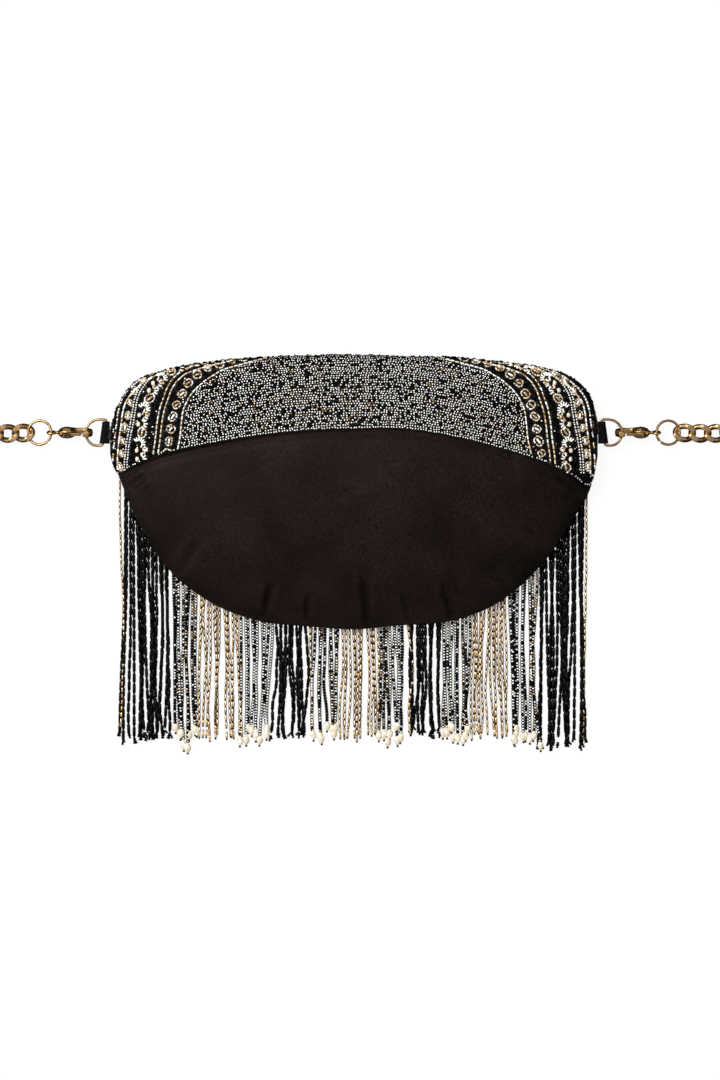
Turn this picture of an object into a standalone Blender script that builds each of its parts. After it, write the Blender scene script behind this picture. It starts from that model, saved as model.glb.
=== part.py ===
"""A beaded belt bag on a curb chain, lying on its beaded front with the satin back up.

Metres, +Z up, +Y towards the bag's top edge. Shapes are worked out in the bag's own
frame, whose origin is the middle of the bag at the level of the chain, on the ground.
"""
import math

import bpy
import bmesh
from mathutils import Matrix, Vector

# Bag outline
BAG_WIDTH = 0.2553          # over the beaded flap
TOP_RISE = 0.0410           # from the chain's level up to the top fold
SEAM_DROP = 0.0274          # from the chain's level down to the ends of the flap's seam
BELLY_DROP = 0.1032         # from the chain's level down to the satin's lowest point
FLAP_DROP = 0.0910          # the same for the flap's lower edge on the front
# Shares across half the bag's width, and of the four sizes above
OUTLINE = [
    # across, top, seam, belly
    (-1.00, 0.02, 0.42, 0.11),
    (-0.97, 0.33, 0.78, 0.21),
    (-0.90, 0.65, 0.64, 0.42),
    (-0.78, 0.80, 0.43, 0.67),
    (-0.60, 0.915, 0.24, 0.855),
    (-0.40, 0.965, 0.085, 0.955),
    (-0.20, 0.99, -0.015, 0.985),
    (0.00, 1.00, -0.05, 1.00),
    (0.20, 0.98, -0.05, 0.98),
    (0.40, 0.97, 0.095, 0.957),
    (0.60, 0.915, 0.32, 0.86),
    (0.78, 0.835, 0.585, 0.66),
    (0.90, 0.70, 0.85, 0.44),
    (0.97, 0.46, 1.00, 0.29),
    (1.00, 0.10, 0.45, 0.12),
]

# Cloth and thickness
FIT_GAP = 0.0004            # between the flap and the pouch inside it
GAP = 0.0003                # between other neighbours
FLAP_THICKNESS = 0.0025     # beads on cloth
POUCH_WALL = 0.0016
SIDE_OVERHANG = 0.0030      # the flap passes the pouch's sides by this
PUFF = 0.0165               # what the middle bulges above the edges
FOLD_HEIGHT = 0.0090        # of the pouch's top edge at the middle
END_HEIGHT = 0.0046         # of its top edge at the sides
LOWER_SEAM_HEIGHT = 0.0040  # of its lower edge
MOUTH_WIDTH = 0.2100
MOUTH_LIP = 0.0060          # how far the mouth's cutter passes the top edge
# Shares of half the width, of the depth from belly to top, and of the puff; reaches are
# shares of half the width and of the bag's depth
DENTS = [
    # across, up, depth, reach_across, reach_up
    (0.06, 0.06, 0.16, 0.035, 0.16),
    (0.41, 0.10, 0.13, 0.030, 0.14),
    (-0.34, 0.07, 0.10, 0.040, 0.12),
    (0.65, 0.62, 0.12, 0.030, 0.10),
    (0.86, 0.66, 0.16, 0.060, 0.10),
]

# Fringe, in locks of one bead colour each
FRINGE_DROP = 0.1640        # from the chain's level down to the shortest lock's end
FRINGE_THICKNESS = 0.0025
LOCK_VALLEY = 0.0012        # thickness between two locks
LOCK_NOTCH = 0.0040         # how far a lock's middle hangs past its sides
FRINGE_HEAD = 0.0040        # depth of the full-thickness head band
LOCK_STEPS = 4
# Shares of half the width, and of FRINGE_DROP
LOCKS = [
    # right_side, end
    (-0.78, 1.000),
    (-0.66, 0.990),
    (-0.47, 1.000),
    (-0.32, 0.985),
    (-0.19, 1.000),
    (-0.05, 0.985),
    (0.10, 1.000),
    (0.22, 0.985),
    (0.36, 1.000),
    (0.485, 0.985),
    (0.63, 0.995),
    (0.76, 0.990),
    (0.97, 1.030),
]
FRINGE_LEFT_SIDE = -0.97    # share of half the width where the first lock starts

# Tabs and D rings
WIRE = 0.0015               # diameter of the D rings and jump rings
TAB_WIDTH = 0.0116
TAB_LAYER = 0.0010
TAB_ROOT_GAP = 0.0005
BAR_OUT = 0.0030            # from the bag's side to the D ring's straight bar
HARDWARE_LEAN = 0.14        # rise over run of the bar's slant, top end nearer the bag
D_RING_HEIGHT = 0.0152
D_RING_DEPTH = 0.0116
D_RING_LEG = 0.0036         # straight part beside the bar
D_RING_CORNER = 0.0012

# Lobster clasps: lengths from the tip end towards the neck ring, and across
CLASP_TURN = math.radians(70)   # of the clasp's flat plane away from the ground
CLAW_RADIUS = 0.0012        # in the clasp's plane
CLAW_DEPTH = 1.45           # its depth through the plane over its width in it
CLASP_PLAY = 0.0005         # between the hook and the D ring pulled against it
BODY_LENGTH = 0.0100
BODY_WIDTH = 0.0086
BODY_THICKNESS = 0.0062
BODY_MIDDLE = 0.0142
NECK_RING_MIDDLE = 0.0224
NECK_RING_RADIUS = 0.00195
NECK_RING_WIRE = 0.0014
NECK_RADIUS = 0.0009
# The claw's centre line, as shares of the clasp's length from tip end to ring middle and
# of half the body's width, and its radius as a share of CLAW_RADIUS
CLAW = [
    # along, across, radius
    (0.660, 0.15, 1.75),
    (0.535, 0.56, 1.30),
    (0.400, 0.70, 1.00),
    (0.270, 0.70, 1.00),
    (0.155, 0.58, 1.04),
    (0.085, 0.22, 1.15),
    (0.080, -0.28, 1.15),
    (0.145, -0.66, 1.08),
    (0.235, -0.74, 0.85),
    (0.262, -0.74, 0.50),
]
LEVER_THICKNESS = 0.0016
LEVER_PIN = 0.0012
LEVER_BOSS = 0.0013         # radius of the lever round its pin
LEVER_ARM = 0.0017          # width of the arm
LEVER_LENGTH = 0.0058       # pin to tip
LEVER_PIN_ALONG = 0.0124
LEVER_PIN_ACROSS = -0.0022
THUMB_LENGTH = 0.0036       # from the pin back to the thumb piece's end
THUMB_RISE = 0.0026         # its height outside the pin's level

# Jump rings and chain
JUMP_RING_SIZE = 0.0142
JUMP_RING_CUT = math.radians(5)
JUMP_RING_CUT_AT = math.radians(-47)
CHAIN_WIDTH = 0.0100
CHAIN_HEIGHT = 0.0044
CHAIN_POINTS = 80
# The chain's way from the jump ring to the middle of its far side, in the bag's frame:
# chosen points for the left half, with x left of the bag's middle counted positive
CHAIN_ROUTE = [
    (0.1954, 0.0000),
    (0.2110, 0.0060),
    (0.2210, 0.0230),
    (0.2255, 0.0560),
    (0.2270, 0.1050),
    (0.2255, 0.1600),
    (0.2230, 0.2060),
    (0.2100, 0.2300),
    (0.1740, 0.2396),
    (0.1100, 0.2400),
    (0.0500, 0.2400),
]

STATIONS = [0.0, 0.1, 0.2, 0.3, 0.4, 0.5, 0.6, 0.69, 0.78, 0.84, 0.90, 0.94]
UPPER_STEPS = 14
LOWER_STEPS = 8
NOSE_STEPS = 4
RING_SIDES = 6

half_width = BAG_WIDTH / 2
pouch_half = half_width - SIDE_OVERHANG
ground_to_pouch = FLAP_THICKNESS + FIT_GAP
wire_radius = WIRE / 2
bar_x = half_width + BAR_OUT
bar_z = ground_to_pouch + END_HEIGHT / 2
d_ring_end_x = bar_x + D_RING_DEPTH - WIRE
hook_inside = min(along for along, _, _ in CLAW) * NECK_RING_MIDDLE + 1.15 * CLAW_RADIUS
clasp_tip_x = d_ring_end_x - (hook_inside + CLASP_PLAY + wire_radius)
clasp_z = GAP + math.hypot(
    BODY_WIDTH / 2 * math.sin(CLASP_TURN), BODY_THICKNESS / 2 * math.cos(CLASP_TURN)
)
neck_x = clasp_tip_x + NECK_RING_MIDDLE
jump_radius = (JUMP_RING_SIZE - WIRE) / 2
jump_tilt = math.asin((clasp_z - CHAIN_HEIGHT / 2) / (2 * jump_radius))
jump_x = neck_x + jump_radius * math.cos(jump_tilt)
jump_z = clasp_z - jump_radius * math.sin(jump_tilt)
chain_start_x = jump_x + jump_radius * math.cos(jump_tilt) + wire_radius + GAP
chain_far_y = CHAIN_ROUTE[-1][1] + CHAIN_WIDTH / 2
fringe_end = FRINGE_DROP * max(end for _, end in LOCKS) + LOCK_NOTCH / 2
# The whole object's bounding box is centred on the world's origin
bag_level = -(chain_far_y - fringe_end) / 2


def mix(a, b, share):
    return a + (b - a) * share


def outline(x, column):
    """A column of OUTLINE at x, by a smooth curve through its rows."""
    across = max(-1.0, min(1.0, x / half_width))
    for i in range(len(OUTLINE) - 1):
        if across <= OUTLINE[i + 1][0]:
            break
    before, here = OUTLINE[max(i - 1, 0)], OUTLINE[i]
    there, after = OUTLINE[i + 1], OUTLINE[min(i + 2, len(OUTLINE) - 1)]
    step = there[0] - here[0]
    share = (across - here[0]) / step
    slope_here = (there[column] - before[column]) / (there[0] - before[0]) * step
    slope_there = (after[column] - here[column]) / (after[0] - here[0]) * step
    s2, s3 = share * share, share ** 3
    return (
        (2 * s3 - 3 * s2 + 1) * here[column]
        + (s3 - 2 * s2 + share) * slope_here
        + (3 * s2 - 2 * s3) * there[column]
        + (s3 - s2) * slope_there
    )


def top_line(x):
    return TOP_RISE * outline(x, 1)


def seam_line(x):
    return -SEAM_DROP * outline(x, 2)


def belly_line(x):
    return -BELLY_DROP * outline(x, 3)


def flap_line(x):
    return -FLAP_DROP * outline(x, 3)


def pouch_top(x):
    return top_line(x) - FLAP_THICKNESS - FIT_GAP


def fold_height(x):
    share = min(1.0, abs(x) / pouch_half)
    return mix(FOLD_HEIGHT, END_HEIGHT, share ** 4)


def dents(across, up):
    """How much of the puff the dents take away."""
    taken = 0.0
    for at_across, at_up, depth, reach_across, reach_up in DENTS:
        far = ((across - at_across) / reach_across) ** 2 + ((up - at_up) / reach_up) ** 2
        taken += depth * math.exp(-far)
    return taken


def pouch_height(x, y):
    """Top of the pouch above its flat underside."""
    low, high = belly_line(x), pouch_top(x)
    up = max(0.0, min(1.0, (y - low) / (high - low)))
    across = min(1.0, abs(x) / pouch_half)
    width_share = (1 - across ** 2.4) ** 0.6
    bulge = math.sin(math.pi * up ** 0.9) * width_share
    edge = mix(LOWER_SEAM_HEIGHT, fold_height(x), up)
    return edge + PUFF * bulge * (1 - dents(x / half_width, up))


def arc(middle_y, middle_z, radius, start, stop, steps):
    return [
        (middle_y + radius * math.cos(a), middle_z + radius * math.sin(a))
        for a in (mix(start, stop, i / steps) for i in range(steps + 1))
    ]


def pouch_section(x, inset=0.0, reach=None):
    """The pouch's outline in Y and Z at x, drawn in by inset. With a reach, the top end
    runs straight out by that much, as the mouth does."""
    low, high = belly_line(x), pouch_top(x)
    seam_radius, fold_radius = LOWER_SEAM_HEIGHT / 2, fold_height(x) / 2
    start, stop = low + seam_radius, high - fold_radius
    base = ground_to_pouch
    ring = arc(start, base + seam_radius, seam_radius - inset, -math.pi / 2, -3 * math.pi / 2, NOSE_STEPS)
    for i in range(1, UPPER_STEPS):
        y = mix(start, stop, i / UPPER_STEPS)
        ring.append((y, base + pouch_height(x, y) - inset))
    if reach is None:
        ring += arc(stop, base + fold_radius, fold_radius - inset, math.pi / 2, -math.pi / 2, NOSE_STEPS + 2)
    else:
        for i in range(NOSE_STEPS + 3):
            z = mix(2 * fold_radius - inset, inset, i / (NOSE_STEPS + 2))
            ring.append((high + reach, base + z))
    for i in range(1, LOWER_STEPS):
        ring.append((mix(stop, start, i / LOWER_STEPS), base + inset))
    return [Vector((x, y, z)) for y, z in ring]


def stations(limit):
    """Places across the bag, both sides of its middle, out to the limit."""
    inner = [half_width * s for s in STATIONS if half_width * s < limit]
    places = inner + [limit]
    return [-x for x in reversed(places)] + places[1:]


def material(name, colour, roughness, metallic=0.0):
    made = bpy.data.materials.new(name)
    made.use_nodes = True
    shader = made.node_tree.nodes["Principled BSDF"]
    shader.inputs["Base Color"].default_value = (*colour, 1)
    shader.inputs["Roughness"].default_value = roughness
    shader.inputs["Metallic"].default_value = metallic
    return made


def finish(bm, name, look, parent, location=(0, 0, 0)):
    """Turns a closed bmesh into a named object under the bag's frame."""
    bmesh.ops.remove_doubles(bm, verts=bm.verts, dist=1e-7)
    bmesh.ops.recalc_face_normals(bm, faces=bm.faces)
    mesh = bpy.data.meshes.new(name)
    bm.to_mesh(mesh)
    bm.free()
    mesh.shade_smooth()
    mesh.set_sharp_from_angle(angle=math.radians(40))
    made = bpy.data.objects.new(name, mesh)
    made.data.materials.append(look)
    made.parent = parent
    made.location = location
    bpy.context.collection.objects.link(made)
    return made


def as_cutter(made):
    made.hide_render = True
    made.display_type = "WIRE"
    return made


def boolean(made, other, operation):
    cut = made.modifiers.new(operation.lower(), "BOOLEAN")
    cut.operation = operation
    cut.solver = "EXACT"
    cut.object = other


def loft(bm, rings, closed=False):
    """Skins closed rings of points in order, and fills both ends unless they meet."""
    rows = [[bm.verts.new(p) for p in ring] for ring in rings]
    pairs = list(zip(rows, rows[1:]))
    if closed:
        pairs.append((rows[-1], rows[0]))
    for row, following in pairs:
        for i in range(len(row)):
            j = (i + 1) % len(row)
            bm.faces.new((row[i], row[j], following[j], following[i]))
    if not closed:
        bm.faces.new(list(reversed(rows[0])))
        bm.faces.new(rows[-1])


def sheet(bm, upper, under):
    """A closed solid between two grids of points with as many rows and columns."""
    tops = [[bm.verts.new(p) for p in row] for row in upper]
    lows = [[bm.verts.new(p) for p in row] for row in under]
    rows, columns = len(tops), len(tops[0])
    for i in range(rows - 1):
        for j in range(columns - 1):
            for grid in (tops, lows):
                bm.faces.new((grid[i][j], grid[i + 1][j], grid[i + 1][j + 1], grid[i][j + 1]))
    for i in range(rows - 1):
        for j in (0, columns - 1):
            bm.faces.new((tops[i][j], tops[i + 1][j], lows[i + 1][j], lows[i][j]))
    for j in range(columns - 1):
        for i in (0, rows - 1):
            bm.faces.new((tops[i][j], tops[i][j + 1], lows[i][j + 1], lows[i][j]))


def round_ring(middle, sideways, upward, radius, sides):
    """A ring of points round middle in the plane of two directions."""
    turn = 2 * math.pi / sides
    return [
        middle + sideways * (radius * math.cos(turn * i)) + upward * (radius * math.sin(turn * i))
        for i in range(sides)
    ]


def flat_tube(bm, path, radii, sides, closed, depth=1.0):
    """A tube round a path that lies in the XY plane, depth times as thick in Z."""
    rings = []
    for i, point in enumerate(path):
        before = path[i - 1] if i or closed else path[0]
        after = path[(i + 1) % len(path)] if i + 1 < len(path) or closed else path[-1]
        way = (after - before).normalized()
        sideways = Vector((-way.y, way.x, 0))
        rings.append(round_ring(point, sideways, Vector((0, 0, depth)), radii[i], sides))
    loft(bm, rings, closed)


def extruded(bm, outline_points, low, high, hole=None):
    """A plate between two heights, with an optional hole outline of as many points."""
    ends = []
    for height in (low, high):
        outer = [bm.verts.new((x, y, height)) for x, y in outline_points]
        inner = [bm.verts.new((x, y, height)) for x, y in hole] if hole else None
        ends.append((outer, inner))
    (low_outer, low_inner), (high_outer, high_inner) = ends
    count = len(low_outer)
    for i in range(count):
        j = (i + 1) % count
        bm.faces.new((low_outer[i], low_outer[j], high_outer[j], high_outer[i]))
        if hole:
            bm.faces.new((low_inner[i], low_inner[j], high_inner[j], high_inner[i]))
            bm.faces.new((low_outer[i], low_outer[j], low_inner[j], low_inner[i]))
            bm.faces.new((high_outer[i], high_outer[j], high_inner[j], high_inner[i]))
    if not hole:
        bm.faces.new(list(reversed(low_outer)))
        bm.faces.new(high_outer)


def make_pouch(looks, frame):
    """The satin pouch: a padded shell, open in a long mouth along its top edge."""
    bm = bmesh.new()
    loft(bm, [pouch_section(x) for x in stations(pouch_half)])
    pouch = finish(bm, "pouch", looks["satin"], frame)
    bm = bmesh.new()
    rings = []
    for x in stations(pouch_half - 2 * POUCH_WALL):
        reach = MOUTH_LIP if abs(x) <= MOUTH_WIDTH / 2 else None
        rings.append(pouch_section(x, POUCH_WALL, reach))
    loft(bm, rings)
    hollow = as_cutter(finish(bm, "pouch_hollow", looks["satin"], frame))
    boolean(pouch, hollow, "DIFFERENCE")


def flap_path(x, lift):
    """The flap's surface at x from its seam on the back, over the top fold, to its lower
    edge on the front, lifted off the pouch."""
    edge_x = max(-pouch_half, min(pouch_half, x))
    fold_radius = fold_height(edge_x) / 2
    stop = pouch_top(x) - fold_radius
    base = ground_to_pouch
    path = []
    for i in range(7):
        y = mix(seam_line(x), stop, i / 7)
        path.append((y, base + pouch_height(edge_x, y) + lift))
    path += arc(stop, base + fold_radius, fold_radius + lift, math.pi / 2, -math.pi / 2, NOSE_STEPS + 2)
    for i in range(1, LOWER_STEPS + 1):
        path.append((mix(stop, flap_line(x), i / LOWER_STEPS), base - lift))
    return [Vector((x, y, z)) for y, z in path]


def flap_stations():
    return [-half_width] + stations(pouch_half) + [half_width]


def make_flap(looks, frame):
    """The beaded flap, folded over the pouch's top edge."""
    places = flap_stations()
    bm = bmesh.new()
    inner = [flap_path(x, FIT_GAP) for x in places]
    outer = [flap_path(x, FIT_GAP + FLAP_THICKNESS) for x in places]
    sheet(bm, outer, inner)
    finish(bm, "flap", looks["beads"], frame)


def flap_edge(x):
    """The flap's lower edge, which is straight from one station to the next."""
    places = flap_stations()
    for here, there in zip(places, places[1:]):
        if x <= there:
            break
    share = (x - here) / (there - here)
    slope = (flap_line(there) - flap_line(here)) / (there - here)
    return mix(flap_line(here), flap_line(there), share), math.hypot(1, slope)


def fringe_columns():
    """Places across the fringe, each with its share across its lock and the lock's end."""
    left = FRINGE_LEFT_SIDE
    columns = []
    for number, (right, end) in enumerate(LOCKS):
        low, high = half_width * left, half_width * right
        places = [mix(low, high, i / LOCK_STEPS) for i in range(0 if number == 0 else 1, LOCK_STEPS + 1)]
        for station in flap_stations():
            if low < station < high and min(abs(station - x) for x in places + [low]) > 1e-4:
                places.append(station)
        columns += [(x, (x - low) / (high - low), end) for x in sorted(places)]
        left = right
    return columns


def make_fringe(looks, frame):
    """The bead fringe under the flap's lower edge: thick locks between thin valleys."""
    upper, under = [], []
    for x, share, end in fringe_columns():
        fullness = math.sin(math.pi * min(1.0, max(0.0, share))) ** 0.5
        thickness = mix(LOCK_VALLEY, FRINGE_THICKNESS, fullness)
        edge, steepness = flap_edge(x)
        start = edge - 1.5 * GAP * steepness
        stop = -FRINGE_DROP * end - LOCK_NOTCH * (fullness - 0.5)
        rows = [start, start - FRINGE_HEAD]
        rows += [mix(start - FRINGE_HEAD, stop, k / 5) for k in (1, 2.5, 4, 5)]
        depths = [FRINGE_THICKNESS] * 2 + [thickness] * 3 + [0.7 * thickness]
        upper.append([Vector((x, y, z)) for y, z in zip(rows, depths)])
        under.append([Vector((x, y, 0)) for y in rows])
    bm = bmesh.new()
    sheet(bm, upper, under)
    finish(bm, "fringe", looks["beads"], frame)


def make_tab(side, name, looks, frame):
    """A loop of strap sewn to the flap's side, round the D ring's bar."""
    hole_radius = wire_radius + GAP
    round_radius = hole_radius + TAB_LAYER
    root = half_width + TAB_ROOT_GAP - bar_x
    outer, hole = [], []
    steps = 12
    for i in range(steps):
        angle = 2 * math.pi * i / steps
        along, height = math.cos(angle), math.sin(angle)
        hole.append((hole_radius * along, hole_radius * height))
        if along > -0.01:
            outer.append((round_radius * along, round_radius * height))
        else:
            outer.append((root, round_radius * height / math.sin(math.radians(120))))
    bm = bmesh.new()
    extruded(bm, outer, -TAB_WIDTH / 2, TAB_WIDTH / 2, hole)
    for vert in bm.verts:
        out, height, y = vert.co
        lean = 0.0 if out < -1.1 * hole_radius else HARDWARE_LEAN
        vert.co = (side * (out - lean * y), y, height)
    finish(bm, name, looks["strap"], frame, (side * bar_x, 0, bar_z))


def d_ring_path():
    """Centre line of the D ring, with its bar along Y at x = 0 and its bow at +x."""
    half = (D_RING_HEIGHT - WIRE) / 2
    depth = D_RING_DEPTH - WIRE
    corner = D_RING_CORNER
    path = [(0, -half + corner), (0, half - corner)]
    path += [
        (corner * (1 - math.cos(a)), half - corner + corner * math.sin(a))
        for a in (math.pi / 4, math.pi / 2)
    ]
    bow = depth - D_RING_LEG
    for i in range(9):
        a = math.pi / 2 - math.pi * i / 8
        path.append((D_RING_LEG + bow * math.cos(a), half * math.sin(a)))
    path += [
        (corner * (1 - math.sin(a)), -half + corner - corner * math.cos(a))
        for a in (0, math.pi / 4)
    ]
    return [Vector((x, y, 0)) for x, y in path]


def make_d_ring(side, name, looks, frame):
    """A D ring, leaning with its tab and dipping to the clasp that holds it."""
    path = d_ring_path()
    bm = bmesh.new()
    flat_tube(bm, path, [wire_radius] * len(path), RING_SIDES, True)
    dip = (bar_z - clasp_z) / (D_RING_DEPTH - WIRE)
    for vert in bm.verts:
        out, y, z = vert.co
        vert.co = (side * (out - HARDWARE_LEAN * y * (1 - out / D_RING_DEPTH)), y, z - dip * out)
    finish(bm, name, looks["gold"], frame, (side * bar_x, 0, bar_z))


def clasp_frame(side):
    """Turns the clasp's flat plane: x from the tip end outwards, y to the fixed claw."""
    along = Vector((side, 0, 0))
    across = Vector((0, math.cos(CLASP_TURN), -math.sin(CLASP_TURN)))
    through = along.cross(across)
    return Matrix((along, across, through)).transposed()


def claw_path():
    points = [
        Vector((along * NECK_RING_MIDDLE, across * BODY_WIDTH / 2, 0)) for along, across, _ in CLAW
    ]
    return points, [radius * CLAW_RADIUS for _, _, radius in CLAW]


def slot_outline():
    """Where the body is cut away for the lever to swing in."""
    pin = LEVER_PIN_ALONG
    floor = LEVER_PIN_ACROSS + LEVER_BOSS + GAP
    outside = -BODY_WIDTH
    deep = floor + 0.0021
    return [
        (pin - 0.0044, outside),
        (pin - 0.0044, deep),
        (pin - 0.0016, deep - 0.0006),
        (pin + 0.0006, floor),
        (pin + THUMB_LENGTH + 2 * GAP, floor),
        (pin + THUMB_LENGTH + 2 * GAP, outside),
    ]


def body_rings():
    """The claw's swelling body and the neck, as rings along the clasp."""
    rings = []
    start = BODY_MIDDLE - BODY_LENGTH / 2
    for along_share in (0.03, 0.14, 0.3, 0.5, 0.7, 0.86):
        wide = math.sqrt(1 - (2 * along_share - 1) ** 2)
        middle = Vector((start + along_share * BODY_LENGTH, 0, 0))
        rings.append((middle, wide * BODY_WIDTH / 2, wide * BODY_THICKNESS / 2))
    neck_end = NECK_RING_MIDDLE - NECK_RING_RADIUS + NECK_RING_WIRE / 4
    for along in (start + 0.97 * BODY_LENGTH, neck_end):
        rings.append((Vector((along, 0, 0)), NECK_RADIUS, NECK_RADIUS))
    sides = 10
    turn = 2 * math.pi / sides
    return [
        [
            middle + Vector((0, wide * math.cos(turn * i), deep * math.sin(turn * i)))
            for i in range(sides)
        ]
        for middle, wide, deep in rings
    ]


def make_clasp(side, name, looks, frame):
    """The lobster clasp's claw, body, lever pin and neck ring in one solid."""
    turned = clasp_frame(side)
    place = (side * clasp_tip_x, 0, clasp_z)

    def made(bm, part_name):
        for vert in bm.verts:
            vert.co = turned @ vert.co
        return finish(bm, part_name, looks["gold"], frame, place)

    bm = bmesh.new()
    loft(bm, body_rings())
    clasp = made(bm, name)

    bm = bmesh.new()
    points, radii = claw_path()
    flat_tube(bm, points, radii, 8, False, CLAW_DEPTH)
    boolean(clasp, as_cutter(made(bm, name + "_claw")), "UNION")

    bm = bmesh.new()
    circle = [
        Vector((NECK_RING_MIDDLE + NECK_RING_RADIUS * math.cos(a), NECK_RING_RADIUS * math.sin(a), 0))
        for a in (2 * math.pi * i / 12 for i in range(12))
    ]
    flat_tube(bm, circle, [NECK_RING_WIRE / 2] * 12, RING_SIDES, True)
    boolean(clasp, as_cutter(made(bm, name + "_neck_ring")), "UNION")

    slot = LEVER_THICKNESS / 2 + GAP
    bm = bmesh.new()
    extruded(bm, slot_outline(), -slot, slot)
    boolean(clasp, as_cutter(made(bm, name + "_slot")), "DIFFERENCE")

    bm = bmesh.new()
    pin = [
        (LEVER_PIN_ALONG + LEVER_PIN / 2 * math.cos(a), LEVER_PIN_ACROSS + LEVER_PIN / 2 * math.sin(a))
        for a in (2 * math.pi * i / 8 for i in range(8))
    ]
    extruded(bm, pin, -slot - GAP, slot + GAP)
    boolean(clasp, as_cutter(made(bm, name + "_pin")), "UNION")


def lever_outline():
    """The lever round its pin: boss, arm to the claw's tip, and thumb piece."""
    boss, arm = LEVER_BOSS, LEVER_ARM / 2
    outer = [
        (-0.4 * boss, -0.92 * boss),
        (0.5 * THUMB_LENGTH, -0.8 * THUMB_RISE),
        (0.85 * THUMB_LENGTH, -THUMB_RISE),
        (THUMB_LENGTH, -0.8 * THUMB_RISE),
        (0.8 * THUMB_LENGTH, -0.2 * THUMB_RISE),
        (0.9 * boss, 0.45 * boss),
        (0.3 * boss, 0.95 * boss),
        (-0.5 * boss, 0.86 * boss),
        (-0.7 * LEVER_LENGTH, arm - 0.0004),
        (-LEVER_LENGTH, arm - 0.0006),
        (-LEVER_LENGTH, -arm - 0.0004),
        (-0.6 * LEVER_LENGTH, -arm - 0.0004),
    ]
    radius = LEVER_PIN / 2 + GAP
    hole = []
    for x, y in outer:
        angle = math.atan2(y, x)
        hole.append((radius * math.cos(angle), radius * math.sin(angle)))
    return outer, hole


def make_lever(side, name, looks, frame):
    """The clasp's lever, with its origin on its pin."""
    outer, hole = lever_outline()
    bm = bmesh.new()
    extruded(bm, outer, -LEVER_THICKNESS / 2, LEVER_THICKNESS / 2, hole)
    turned = clasp_frame(side)
    for vert in bm.verts:
        vert.co = turned @ vert.co
    pin = turned @ Vector((LEVER_PIN_ALONG, LEVER_PIN_ACROSS, 0))
    finish(bm, name, looks["gold"], frame, (side * clasp_tip_x + pin.x, pin.y, clasp_z + pin.z))


def make_jump_ring(side, name, looks, frame):
    """A round wire ring with a fine cut, leaning from the clasp down to the chain."""
    steps = 20
    first = math.pi - JUMP_RING_CUT_AT
    path = []
    for i in range(steps):
        a = first + mix(JUMP_RING_CUT / 2, 2 * math.pi - JUMP_RING_CUT / 2, i / (steps - 1))
        path.append(Vector((jump_radius * math.cos(a), jump_radius * math.sin(a), 0)))
    bm = bmesh.new()
    flat_tube(bm, path, [wire_radius] * steps, RING_SIDES, False)
    lean = Matrix.Rotation(jump_tilt, 3, "Y")
    for vert in bm.verts:
        x, y, z = lean @ vert.co
        vert.co = (side * x, y, z)
    finish(bm, name, looks["gold"], frame, (side * jump_x, 0, jump_z))


def chain_points():
    """Points along the whole chain, read from a smooth curve through its route."""
    half = [(chain_start_x, 0.0)] + CHAIN_ROUTE
    route = [Vector((-x, y, 0)) for x, y in half] + [Vector((x, y, 0)) for x, y in reversed(half)]
    curve = []
    for i in range(len(route) - 1):
        before, after = route[max(i - 1, 0)], route[min(i + 2, len(route) - 1)]
        here, there = route[i], route[i + 1]
        for k in range(24):
            s = k / 24
            curve.append(
                0.5 * (
                    2 * here
                    + (there - before) * s
                    + (2 * before - 5 * here + 4 * there - after) * s * s
                    + (3 * here - before - 3 * there + after) * s ** 3
                )
            )
    curve.append(route[-1])
    lengths = [0.0]
    for here, there in zip(curve, curve[1:]):
        lengths.append(lengths[-1] + (there - here).length)
    points, k = [], 0
    for i in range(CHAIN_POINTS):
        along = lengths[-1] * i / (CHAIN_POINTS - 1)
        while k < len(curve) - 2 and lengths[k + 1] < along:
            k += 1
        share = (along - lengths[k]) / (lengths[k + 1] - lengths[k])
        points.append(curve[k].lerp(curve[k + 1], share))
    return points


def make_chain(looks, frame):
    """The chain's outer form: an oval tube from one jump ring round to the other."""
    curve = bpy.data.curves.new("chain", "CURVE")
    curve.dimensions = "3D"
    curve.bevel_depth = CHAIN_WIDTH / 2
    curve.bevel_resolution = 2
    curve.render_resolution_u = 0
    curve.use_fill_caps = True
    points = chain_points()
    spline = curve.splines.new("POLY")
    spline.points.add(len(points) - 1)
    for place, point in zip(spline.points, points):
        place.co = (*point, 1)
    curve.materials.append(looks["gold"])
    chain = bpy.data.objects.new("chain", curve)
    chain.parent = frame
    chain.scale = (1, 1, CHAIN_HEIGHT / CHAIN_WIDTH)
    chain.location = (0, 0, CHAIN_HEIGHT / 2)
    bpy.context.collection.objects.link(chain)


def main():
    for old in list(bpy.data.objects):
        bpy.data.objects.remove(old)
    looks = {
        "satin": material("black_brown_satin", (0.016, 0.010, 0.007), 0.38),
        "beads": material("glass_seed_beads", (0.030, 0.026, 0.024), 0.22),
        "strap": material("black_strap", (0.009, 0.008, 0.008), 0.55),
        "gold": material("antique_gold_plate", (0.46, 0.26, 0.10), 0.26, 1.0),
    }
    frame = bpy.data.objects.new("bag_frame", None)
    frame.location = (0, bag_level, 0)
    bpy.context.collection.objects.link(frame)
    make_pouch(looks, frame)
    make_flap(looks, frame)
    make_fringe(looks, frame)
    for side, hand in ((-1, "left"), (1, "right")):
        make_tab(side, "tab_" + hand, looks, frame)
        make_d_ring(side, "d_ring_" + hand, looks, frame)
        make_clasp(side, "clasp_" + hand, looks, frame)
        make_lever(side, "clasp_lever_" + hand, looks, frame)
        make_jump_ring(side, "jump_ring_" + hand, looks, frame)
    make_chain(looks, frame)


main()
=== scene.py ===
"""The looks of a beaded belt bag, laid on its beaded front with its satin back up."""
import math

import bmesh
import bpy
import numpy as np
from bpy.props import FloatProperty, FloatVectorProperty, IntProperty, PointerProperty
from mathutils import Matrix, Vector, kdtree, noise


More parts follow.
